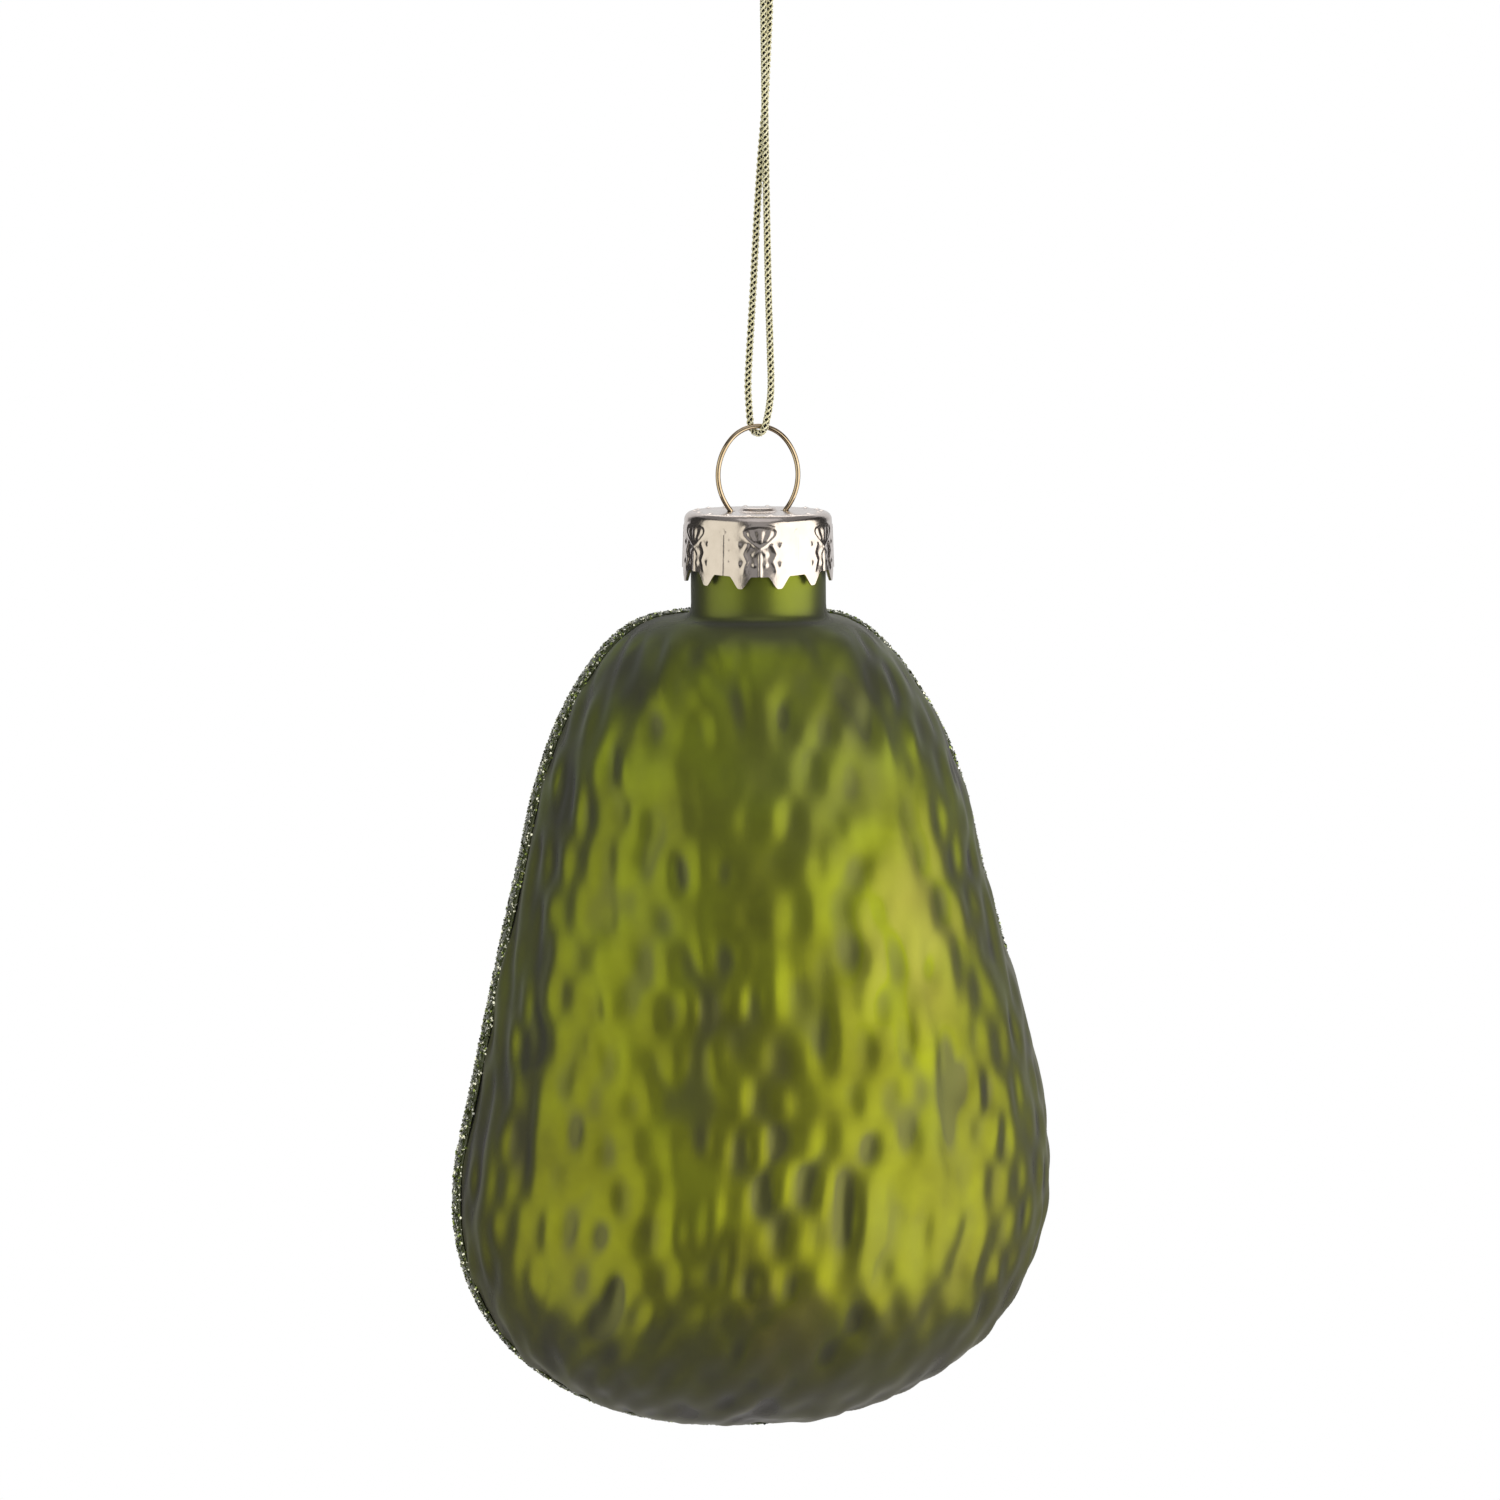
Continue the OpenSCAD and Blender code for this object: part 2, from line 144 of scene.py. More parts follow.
class CapSettings(bpy.types.PropertyGroup):
    """Sizes and colours of the stamped cap."""
    sheet: length("Sheet", 0.3, "Thickness of the sheet")
    radius: length("Radius", 8.85, "Outside radius under the top edge")
    flare: length("Flare", 0.27, "How far the skirt flares out at the hem")
    rounding: length("Rounding", 1, "Rounding of the top edge")
    skirt: length("Skirt", 7.3, "Height of the skirt above its teeth")
    button_rise: length("Button rise", 0.45, "Rise of the button in the top")
    button_radius: length("Button radius", 2.43, "Radius of the button in the top")
    hole_reach: length("Hole reach", 3.284, "Distance of the wire holes from the neck axis")
    hole_diameter: length("Hole diameter", 1.1, "Diameter of the wire holes")
    tooth_length: length("Tooth length", 1.45, "Length of a tooth")
    tooth_width: length("Tooth width", 2.7, "Width of a tooth at its root")
    tip_width: length("Tip width", 0.5, "Width of a tooth at its tip")
    teeth: IntProperty(name="Teeth", description="Number of teeth on the hem", default=12, min=3)
    turn: FloatProperty(name="Turn", description="Turn of the stamped pattern about the neck",
                        default=math.radians(-8.5), subtype="ANGLE")
    relief: length("Relief", 0.1, "Height of the stamped pattern")
    metal: colour("Metal", "#DAD0CB", "Pale gold of the sheet")
    worn: colour("Worn metal", "#C7BCB5", "Duller patches of the sheet")


class HangerSettings(bpy.types.PropertyGroup):
    """Sizes and colours of the wire and the thread."""
    wire_diameter: length("Wire diameter", 0.6, "Diameter of the wire")
    ring_top_radius: length("Ring top radius", 4.3, "Radius of the ring's top")
    ring_side_radius: length("Ring side radius", 6.7, "Radius of the ring's sides")
    waist_radius: length("Waist radius", 0.8, "Radius of the bend at the cap")
    leg_length: length("Leg length", 10.97, "Length of each straight leg in the neck")
    curl_radius: length("Curl radius", 1, "Radius of the curl at the end of each leg")
    wire: colour("Wire", "#CABBA4", "Gold of the wire")
    wire_worn: colour("Worn wire", "#AC9473", "Redder patches of the wire")
    thread_diameter: length("Thread diameter", 0.86, "Diameter of the thread")
    thread_reach: length("Thread reach", 55, "Height from the ring's top to the hanging point")
    braid_pitch: length("Braid pitch", 2.16, "Length in which a yarn goes once round the thread")
    knot_diameter: length("Knot diameter", 3.6, "Diameter of the knot")
    knot_height: length("Knot height", 3.8, "Height of the knot")
    tail_length: length("Tail length", 7, "Length of each cut tail above the knot")
    yarn: colour("Yarn", "#FFFBDF", "Pale gold foil yarn")
    yarn_deep: colour("Deep yarn", "#F2ECBE", "Greener foil yarn")
    core: colour("Core", "#0C0D06", "Dark core that shows between the yarns")


class StageSettings(bpy.types.PropertyGroup):
    """Camera and light of the studio."""
    azimuth: FloatProperty(name="Azimuth", description="Camera's turn round the ornament",
                           default=math.radians(170), subtype="ANGLE")
    elevation: FloatProperty(name="Elevation", description="Camera's height above the horizon",
                             default=math.radians(5), subtype="ANGLE")
    distance: FloatProperty(name="Distance", description="Camera's distance", default=2.0, min=0.1,
                            unit="LENGTH")
    view_width: length("View width", 180, "Width of the picture at the ornament")
    aim_height: length("Aim height", 93.94,
                       "How far the picture's middle lies below the hanging point")
    aim_side: length("Aim side", 0.96, "How far the picture's middle lies left of the neck axis")
    ambient: FloatProperty(name="Ambient", description="Brightness of the room", default=0.04,
                           min=0.0)
    paper: colour("Paper", "#FFFFFF", "Backdrop")


def add_node(tree, kind, output, inputs=None, **settings):
    """Adds a shader node with its settings, sets or links its inputs, with each colour made opaque,
    and gives the output that is named."""
    node = tree.nodes.new("ShaderNode" + kind)
    for name, value in settings.items():
        setattr(node, name, value)
    for name, value in (inputs or {}).items():
        socket = node.inputs[name]
        if isinstance(value, bpy.types.NodeSocket):
            tree.links.new(value, socket)
        else:
            socket.default_value = (*value, 1.0) if socket.type == "RGBA" else value
    return node.outputs[output] if output else None


def make_materials(settings, *finishes):
    """Materials that are named for the functions that add their nodes and give their shader."""
    made = []
    for finish in finishes:
        material = bpy.data.materials.new(finish.__name__)
        material.use_nodes = True
        material.node_tree.nodes.clear()
        node = partial(add_node, material.node_tree)
        node("OutputMaterial", None, {"Surface": finish(node, settings)})
        made.append(material)
    return made


def satin_lacquer_on_silvered_glass(node, settings):
    """Mould-blown glass, silvered inside and sprayed with a satin green lacquer: the mirror behind
    the lacquer gives a soft metallic green, and the satin coat a grey haze that grows at the
    edges."""
    # The dent value darkens the lacquer in the dents and is painted shade under the neck, on the
    # neck and in patches; below 0 it is painted highlight
    dent = node("Attribute", "Fac", attribute_name="dent")
    place = node("TexCoord", "Object")
    # Cloudy spray about 9 mm across
    cloud = node("TexNoise", "Fac", {"Vector": place, "Scale": 110.0, "Detail": 3.0})
    thick = node("MapRange", "Result", {"Value": cloud, "From Min": 0.3, "From Max": 0.7})
    spray = node("Mix", "Result", {"Factor": thick, "A": settings.lacquer_thin,
                                   "B": settings.lacquer}, data_type="RGBA")
    # The darkening, in the dents and the painted shade alike, is thinned and thickened at random in
    # patches about 13 mm across
    patchiness = node("TexNoise", "Fac", {"Vector": place, "Scale": 75.0, "Detail": 1.0})
    left = node("MapRange", "Result", {"Value": patchiness, "From Min": 0.38, "From Max": 0.62,
                                       "To Min": 0.4, "To Max": 1.3})
    # Darker grey-green in the dents, and painted shade under the neck, on the neck and in the
    # patches of painted shade
    dent_darkening_and_painted_light = node("Math", "Value", {0: dent, 1: left}, operation="MULTIPLY")
    tint = node("Mix", "Result", {"Factor": dent_darkening_and_painted_light, "A": spray, "B": settings.dent_and_painted_shade},
                data_type="RGBA")
    # Painted highlight: a paler, hazier lacquer where the darkening falls below 0, in the patches
    # of painted highlight
    painted_highlight_share = node("MapRange", "Result", {"Value": dent, "From Min": 0.0, "From Max": -0.4})
    painted_highlight_tint = node("Mix", "Result", {"Factor": painted_highlight_share, "A": tint, "B": settings.painted_highlight_tint},
                 data_type="RGBA")
    # The spray drifts from a greener shade at the shoulder to a browner one at the foot, and its
    # clouds shift that by some 20 mm
    cloud_shift = 0.12
    level = node("SeparateXYZ", "Z", {"Vector": place})
    drift = node("Math", "Value", {0: cloud, 1: cloud_shift, 2: level}, operation="MULTIPLY_ADD")
    foot = GLASS_FOOT * MM + cloud_shift / 2
    hue = node("MapRange", "Result", {"Value": drift, "From Min": foot, "To Min": 0.487,
                                      "From Max": foot + settings.body_height, "To Max": 0.517})
    shade = node("HueSaturation", "Color", {"Hue": hue, "Color": painted_highlight_tint})
    # Etched grain, drawn at 0.25 mm so that it shows
    grain = node("TexNoise", "Fac", {"Vector": place, "Scale": 4000.0, "Detail": 2.0})
    satin = node("MapRange", "Result", {"Value": grain, "To Min": 0.36, "To Max": 0.43})
    bump = node("Bump", "Normal", {"Height": grain, "Strength": 0.06, "Distance": 0.1 * MM})
    return node("BsdfPrincipled", "BSDF", {
        "Base Color": shade, "Metallic": 0.92, "Roughness": satin, "Normal": bump,
        "Specular Tint": (0.15, 0.15, 0.15), "Coat Weight": 0.12, "Coat Roughness": 0.45,
        "Sheen Weight": 0.24, "Sheen Roughness": 0.6, "Sheen Tint": (0.85, 0.83, 0.95)})


def brushed_acrylic_paint(node, settings):
    """Acrylic paint brushed on glass: matte flesh that is greener at the rim, and a glossier brown
    pit with darker strokes."""
    rim = node("Attribute", "Fac", attribute_name="rim_distance")
    pit = node("Attribute", "Fac", attribute_name="pit_distance")
    place = node("TexCoord", "Object")
    # Brush strokes about 2 mm wide and 8 mm long
    stretch = node("Mapping", "Vector", {"Vector": place, "Scale": (500.0, 500.0, 125.0)})
    stroke = node("TexNoise", "Fac", {"Vector": stretch, "Scale": 1.0, "Detail": 4.0})
    uneven = node("Math", "Value", {0: stroke, 1: 0.35, 2: -0.17}, operation="MULTIPLY_ADD")
    inward = node("Math", "Value", {0: rim, 1: uneven}, operation="ADD")
    flesh = node("Mix", "Result", {"Factor": inward, "A": settings.flesh_edge,
                                   "B": settings.flesh}, data_type="RGBA")
    mottle = node("MapRange", "Result", {"Value": stroke, "From Min": 0.35, "From Max": 0.65})
    seed = node("Mix", "Result", {"Factor": mottle, "A": settings.pit_dark, "B": settings.pit},
                data_type="RGBA")
    edge = node("MapRange", "Result", {"Value": pit, "From Min": 0.96, "From Max": 0.99})
    paint = node("Mix", "Result", {"Factor": edge, "A": seed, "B": flesh}, data_type="RGBA")
    gloss = node("MapRange", "Result", {"Value": edge, "To Min": 0.28, "To Max": 0.5})
    bump = node("Bump", "Normal", {"Height": stroke, "Strength": 0.15, "Distance": 0.4 * MM})
    return node("BsdfPrincipled", "BSDF", {
        "Base Color": paint, "Roughness": gloss, "Normal": bump, "Coat Weight": 0.35,
        "Coat Roughness": 0.15})


def mirror_silvering(node, settings):
    """Silver nitrate mirror poured inside the glass: a bright cloudy mirror seen down the neck."""
    place = node("TexCoord", "Object")
    # Clouds of the pour, about 4 mm across
    cloud = node("TexNoise", "Fac", {"Vector": place, "Scale": 250.0, "Detail": 3.0})
    haze = node("MapRange", "Result", {"Value": cloud, "To Min": 0.12, "To Max": 0.35})
    return node("BsdfPrincipled", "BSDF", {
        "Base Color": settings.silvering, "Metallic": 1.0, "Roughness": haze})


def tinted_glue(node, settings):
    """Tinted glue that dried in a lumpy line: dark green and glossy between the flakes."""
    place = node("TexCoord", "Object")
    # Lumps of 0.5 mm
    lump = node("TexNoise", "Fac", {"Vector": place, "Scale": 2000.0})
    shade = node("Mix", "Result", {"Factor": lump, "A": settings.painted_shade_flake_and_glue, "B": settings.glue},
                 data_type="RGBA")
    bump = node("Bump", "Normal", {"Height": lump, "Strength": 0.5, "Distance": 0.3 * MM})
    return node("BsdfPrincipled", "BSDF", {"Base Color": shade, "Roughness": 0.3, "Normal": bump})


def polyester_glitter(node, settings):
    """Cut polyester film with a metal coat: each flake is one small mirror with a tint drawn at
    random, a pale one that is a painted glint, its own green, and a dark olive that is painted
    shade."""
    draw = node("Attribute", "Fac", attribute_name="flake_tint")
    # Dark tints are painted shade and pale tints painted glints
    tint = node("ValToRGB", "Color", {"Fac": draw})
    ramp = tint.node.color_ramp
    ramp.interpolation = "CONSTANT"
    ramp.elements[0].color = (*settings.painted_shade_flake_and_glue, 1.0)
    ramp.elements[1].position = 0.15
    ramp.elements[1].color = (*settings.green, 1.0)
    ramp.elements.new(0.5).color = (*settings.painted_glint_flake, 1.0)
    return node("BsdfPrincipled", "BSDF", {"Base Color": tint, "Metallic": 0.8, "Roughness": 0.2})


def gold_washed_tinplate(node, settings):
    """Thin rolled sheet with a pale gold wash, stamped in a die: sharp bright and dark reflections,
    with duller clouds where it was rubbed."""
    place = node("TexCoord", "Object")
    # Rubbed patches about 2 mm across
    rub = node("TexNoise", "Fac", {"Vector": place, "Scale": 500.0, "Detail": 4.0})
    tint = node("Mix", "Result", {"Factor": rub, "A": settings.worn, "B": settings.metal},
                data_type="RGBA")
    satin = node("MapRange", "Result", {"Value": rub, "To Min": 0.27, "To Max": 0.15})
    # Dents of handling, about 0.8 mm across
    dent = node("TexNoise", "Fac", {"Vector": place, "Scale": 1250.0})
    bump = node("Bump", "Normal", {"Height": dent, "Strength": 0.12, "Distance": 0.2 * MM})
    return node("BsdfPrincipled", "BSDF", {
        "Base Color": tint, "Metallic": 1.0, "Roughness": satin, "Normal": bump})


def brassed_spring_wire(node, settings):
    """Drawn steel spring wire with a brass wash: a thin bright line along a reddish gold."""
    place = node("TexCoord", "Object")
    # Patches of the wash about 1.5 mm long
    patch = node("TexNoise", "Fac", {"Vector": place, "Scale": 650.0})
    tint = node("Mix", "Result", {"Factor": patch, "A": settings.wire_worn, "B": settings.wire},
                data_type="RGBA")
    satin = node("MapRange", "Result", {"Value": patch, "To Min": 0.1, "To Max": 0.06})
    return node("BsdfPrincipled", "BSDF", {
        "Base Color": tint, "Metallic": 1.0, "Roughness": satin, "Specular Tint": (0.6, 0.5, 0.4)})


def metallised_foil_yarn(node, settings):
    """Metallised film slit to a flat yarn: pale gold glints that turn greener from yarn to yarn."""
    place = node("TexCoord", "Object")
    # Glints about 0.4 mm long
    glint = node("TexNoise", "Fac", {"Vector": place, "Scale": 2500.0})
    turn = node("MapRange", "Result", {"Value": glint, "From Min": 0.35, "From Max": 0.6})
    tint = node("Mix", "Result", {"Factor": turn, "A": settings.yarn_deep, "B": settings.yarn},
                data_type="RGBA")
    return node("BsdfPrincipled", "BSDF", {"Base Color": tint, "Metallic": 0.1, "Roughness": 0.3})


def spun_dark_filament(node, settings):
    """Spun dark filament under the foil: dull, and nearly black in the gaps."""
    place = node("TexCoord", "Object")
    # Filaments of 0.1 mm
    fibre = node("TexNoise", "Fac", {"Vector": place, "Scale": 9000.0})
    deep = [0.4 * c for c in settings.core]
    tint = node("Mix", "Result", {"Factor": fibre, "A": deep, "B": settings.core},
                data_type="RGBA")
    return node("BsdfPrincipled", "BSDF", {"Base Color": tint, "Roughness": 0.8})


def seamless_paper(node, settings):
    """Evenly lit seamless paper: plain, with no shade of its own."""
    return node("Emission", "Emission", {"Color": settings.paper, "Strength": 1.0})


def mesh_object(name, points, faces, materials, slots=None, values=None):
    """Smooth-shaded object from points in millimetres of the row frame, its faces, each face's
    material slot, and named values of its points."""
    mesh = bpy.data.meshes.new(name)
    mesh.from_pydata((np.asarray(points, float) * MM).tolist(), [], faces)
    for material in materials:
        mesh.materials.append(material)
    if slots is not None:
        mesh.polygons.foreach_set("material_index", np.asarray(slots, np.int32))
    mesh.polygons.foreach_set("use_smooth", np.ones(len(faces), bool))
    for key, value in (values or {}).items():
        attribute = mesh.attributes.new(key, "FLOAT", "POINT")
        attribute.data.foreach_set("value", np.asarray(value, np.float32))
    if mesh.validate():
        raise RuntimeError(f"{name} has faces that Blender had to mend")
    mesh.update()
    made = bpy.data.objects.new(name, mesh)
    bpy.context.scene.collection.objects.link(made)
    return made


def ring_quads(rings, count, start=0):
    """Quads between closed rings of points that follow one another."""
    i, k = np.meshgrid(np.arange(rings - 1), np.arange(count), indexing="ij")
    a, b = start + i * count + k, start + i * count + (k + 1) % count
    return np.stack([a, b, b + count, a + count], -1).reshape(-1, 4).tolist()


def shell_faces(rings, count):
    """Quads between closed rings, and fans that close them to two poles, the last two points."""
    first, last = rings * count, (rings - 1) * count
    faces = ring_quads(rings, count)
    for k in range(count):
        n = (k + 1) % count
        faces += [[first, n, k], [last + k, last + n, first + 1]]
    return faces


def circle(count):
    """Points round a circle of radius 1."""
    turn = np.arange(count) * 2 * math.pi / count
    return np.stack([np.cos(turn), np.sin(turn)], 1)


def bezier(a, b, c, d, t):
    return a * (1 - t) ** 3 + 3 * b * t * (1 - t) ** 2 + 3 * c * t * t * (1 - t) + d * t ** 3


def smoothstep(low, high, x):
    t = np.clip((x - low) / (high - low), 0, 1)
    return t * t * (3 - 2 * t)


def unit(v):
    return v / np.maximum(np.linalg.norm(v, axis=-1, keepdims=True), 1e-12)


def running(steps):
    """Distance run at each point of a line, from the lengths of its steps along the last axis."""
    return np.cumsum(np.insert(steps, 0, 0, axis=-1), axis=-1)


class GlassForm:
    """Skin of the blown glass in millimetres above its lowest point, with the neck on the Z
    axis."""
    # How square the bottom, the skin side and the rim are, and how late the rim gives way to the
    # neck
    bottom_power, back_power, face_power, rim_hold = 2.2, 2.3, 3.0, 6
    # Lean of the flank, and how far the outline is drawn out at each of its joins
    flank_lean, widest_pull, flank_pull, shoulder_pull = 0.18, 0.21, 0.1, 0.55

    def __init__(self, sizes):
        self.half, self.height = sizes.body_width / 2, sizes.body_height
        self.widest, self.flank_z = sizes.widest_height, sizes.flank_height
        self.flank_half, self.shoulder_half = sizes.flank_width / 2, sizes.shoulder_width / 2
        self.back, self.flank_back = sizes.back_reach, sizes.flank_back
        self.shoulder_back, self.face = sizes.shoulder_back, sizes.face_reach
        self.rim_depth, self.wall = sizes.rim_depth, sizes.wall
        self.neck, self.neck_wall = sizes.neck_diameter / 2, sizes.neck_wall
        self.rim_line = self.rim_depth - self.face

    def top_radius(self, inset):
        """Radius where the shoulder meets the neck, within the neck's wall."""
        return self.neck - self.neck_wall * (0.2 + 0.6 * inset / self.wall)

    def levels(self, s, inset=0.0):
        """Half width, depth behind the rim line, rim line, depth before it, height, and how square
        the skin side and the rim are, at steps from 0, the lowest point, to 3, the neck."""
        s = np.asarray(s, float)
        t = np.clip(s, 0, 1) * math.pi / 2
        spread = np.sin(t) ** (2 / self.bottom_power)
        rise = 1 - np.maximum(np.cos(t), 0) ** (2 / self.bottom_power)
        bottom = [spread * (self.half - inset), spread * (self.back - self.rim_line - inset),
                  self.rim_line + 0 * s, spread * (self.rim_depth - inset),
                  inset + (self.widest - inset) * rise, 0 * s]
        t = np.clip(s - 1, 0, 1)
        rise = self.flank_z - self.widest
        pull = self.flank_pull * rise
        w, b, fw, fb = (v - inset for v in (self.half, self.back, self.flank_half, self.flank_back))
        flank = [bezier(w, w, fw + pull * self.flank_lean, fw, t),
                 bezier(b, b, fb + pull * self.flank_lean, fb, t) - self.rim_line,
                 self.rim_line + 0 * s, self.rim_depth - inset + 0 * s,
                 bezier(self.widest, self.widest + self.widest_pull * rise, self.flank_z - pull,
                        self.flank_z, t), 0 * s]
        t = np.clip(s - 2, 0, 1)
        blend, end, top = t ** self.rim_hold, self.top_radius(inset), self.height - inset
        pull = self.shoulder_pull * (self.height - self.flank_z)
        line = self.rim_line * (1 - blend)
        lean = pull * self.flank_lean
        shoulder = [bezier(fw, fw - lean, self.shoulder_half - inset, end, t),
                    bezier(fb, fb - lean, self.shoulder_back - inset, end, t) - line,
                    line, (self.face - inset) * (1 - blend) + end * blend + line,
                    bezier(self.flank_z, self.flank_z + pull, top, top, t), blend]
        *sizes, blend = (np.where(s <= 1, x, np.where(s <= 2, y, z))
                         for x, y, z in zip(bottom, flank, shoulder))
        powers = self.back_power, self.face_power
        return *sizes, *(power + (2 - power) * blend for power in powers)

    def skin(self, s, angles, inset=0.0):
        """Points of the sections at steps s, with the skin side at 0 to 180 degrees."""
        w, depth, line, front, z, p, q = (v[:, None] for v in self.levels(s, inset))
        c, d = np.cos(angles)[None], np.sin(angles)[None]
        skin_side = (d > -1e-9) & (angles <= math.pi + 1e-9)
        x = np.where(skin_side, w * np.sign(c) * np.abs(c) ** (2 / p), w * c)
        y = np.where(skin_side, line + depth * np.maximum(d, 0) ** (2 / p),
                     line - front * np.maximum(1 - np.abs(c) ** q, 0) ** (1 / q))
        return np.stack([x, y, z + 0 * x], -1)

    def rim_loop(self, y, inset, steps):
        """Closed loop on the glass in the plane at y, up one side and down the other."""
        d = y - self.rim_line
        share = d / (self.back - self.rim_line - inset) if d > 0 else -d / (self.rim_depth - inset)
        low = math.asin(share ** (self.bottom_power / 2)) / (math.pi / 2)
        end = self.top_radius(inset)
        high = 2 + ((self.face - inset + y) / (self.face - inset - end)) ** (1 / self.rim_hold)
        s = low + (high - low) * (1 - np.cos(np.linspace(0, math.pi, steps + 1))) / 2
        w, depth, line, front, z, p, q = self.levels(s, inset)
        d = y - line
        x = np.where(d > 0, w * np.maximum(1 - (np.maximum(d, 0) / depth) ** p, 0) ** (1 / p),
                     w * np.maximum(1 - (np.maximum(-d, 0) / front) ** q, 0) ** (1 / q))
        x[0] = x[-1] = 0
        up = np.stack([x, y + 0 * x, z], -1)
        return np.concatenate([up, up[-2:0:-1] * [-1, 1, 1]])


def sway(points):
    """Slight lean and full foot of the blown body, which leave the neck where it is."""
    z = points[..., 2]

    def near(level, reach):
        return np.exp(-((z - level) / reach) ** 2)

    # A lean to one side at the belly and the shoulder, and to the other at the foot
    belly_z = 42
    belly = np.where(z < belly_z, near(belly_z, 18), near(belly_z, 28))
    shoulder = smoothstep(82, 91, z) * smoothstep(99.2, 98, z)
    moved = points.copy()
    moved[..., 0] *= 1 - 0.01 * shoulder + 0.022 * near(5, 10)
    moved[..., 0] += 0.8 * near(0, 10) - 1.45 * belly - 0.45 * near(80, 13)
    moved[..., 2] -= 0.3 * near(0, 4)
    return moved


def hang(points):
    """From millimetres above the glass's lowest point to the row frame."""
    return points + np.array([NECK_X, 0, GLASS_FOOT])


# Patches of painted shade, where the share is above 0, and of painted highlight, where it is below
# 0: millimetres to the right of the middle and below the neck, radius in millimetres, and share
SHADE_AND_HIGHLIGHT_PATCHES = ((3, 20, 8, 0.85), (18, 79, 12, 0.8), (15, 37, 8, -0.5), (-17, 22, 5, 0.4),
                (-17, 37, 4, 0.3), (-28, 83, 6, 0.3), (2, 88, 6, -0.7), (12, 8, 6, 0.6))
PEBBLE_SEED, FLAKE_SEED = 11, 5


def pebbles(points, sizes):
    """Height of the pebbled skin over a grid of points, which runs from rim to rim and from the
    bottom up, and a darkening over it: 1 where it is darkest, in a dent or as painted shade just
    under the neck and in patches, and under 0 where patches of painted highlight lie."""
    run = running(np.linalg.norm(np.diff(points, axis=1), axis=2))
    middle = points[:, points.shape[1] // 2]
    up = running(np.linalg.norm(np.diff(middle, axis=0), axis=1))[:, None]
    from_rim = np.minimum(run, run[:, -1:] - run)
    from_middle, below = run - run[:, -1:] / 2, up[-1] - up
    aside, level = from_middle / sizes.pebble_width, up / sizes.pebble_height
    rng = np.random.default_rng(PEBBLE_SEED)
    columns = math.ceil(aside.max())
    lumps = np.zeros(run.shape)
    # Upright ovals, by turns a pebble and a dent, each a little out of its place: the least and the
    # most of its shift to the right and up, height, spread and chance to be the other kind
    least, most = (-0.3, -0.3, 0.4, 0.85, 0), (0.3, 0.3, 1.3, 1.2, 1)
    radius, usual = 0.6, 0.9
    for row in range(math.ceil(level.max()) + 1):
        near = slice(*np.searchsorted(level[:, 0], [row - 2, row + 2]))
        for column in range(-columns, columns + 1):
            right, high, height, spread, chance = rng.uniform(least, most)
            off = (aside[near] - column - right) ** 2 + (level[near] - row - high) ** 2
            way = (-1) ** (row + column) * (1 if chance < usual else -1)
            lumps[near] += way * height * np.exp(-off / (radius * spread) ** 2)
    # The skin is calm next to the rim and the neck, and painted shade darkens the shoulder just
    # under the neck
    calm = smoothstep(1.2, 4, from_rim) * smoothstep(0, 3, below)
    dent_darkening_and_painted_light = np.maximum(smoothstep(-0.1, 1.0, -lumps) * calm, smoothstep(4.5, 1, below))
    # Patches of painted shade and of painted highlight
    for right, down, radius, share in SHADE_AND_HIGHLIGHT_PATCHES:
        off = (from_middle - right) ** 2 + (below - down) ** 2 / 2
        dent_darkening_and_painted_light += share * np.exp(-off / radius ** 2)
    return sizes.pebble_relief / 2 * lumps * calm, np.clip(dent_darkening_and_painted_light, -1, 1)


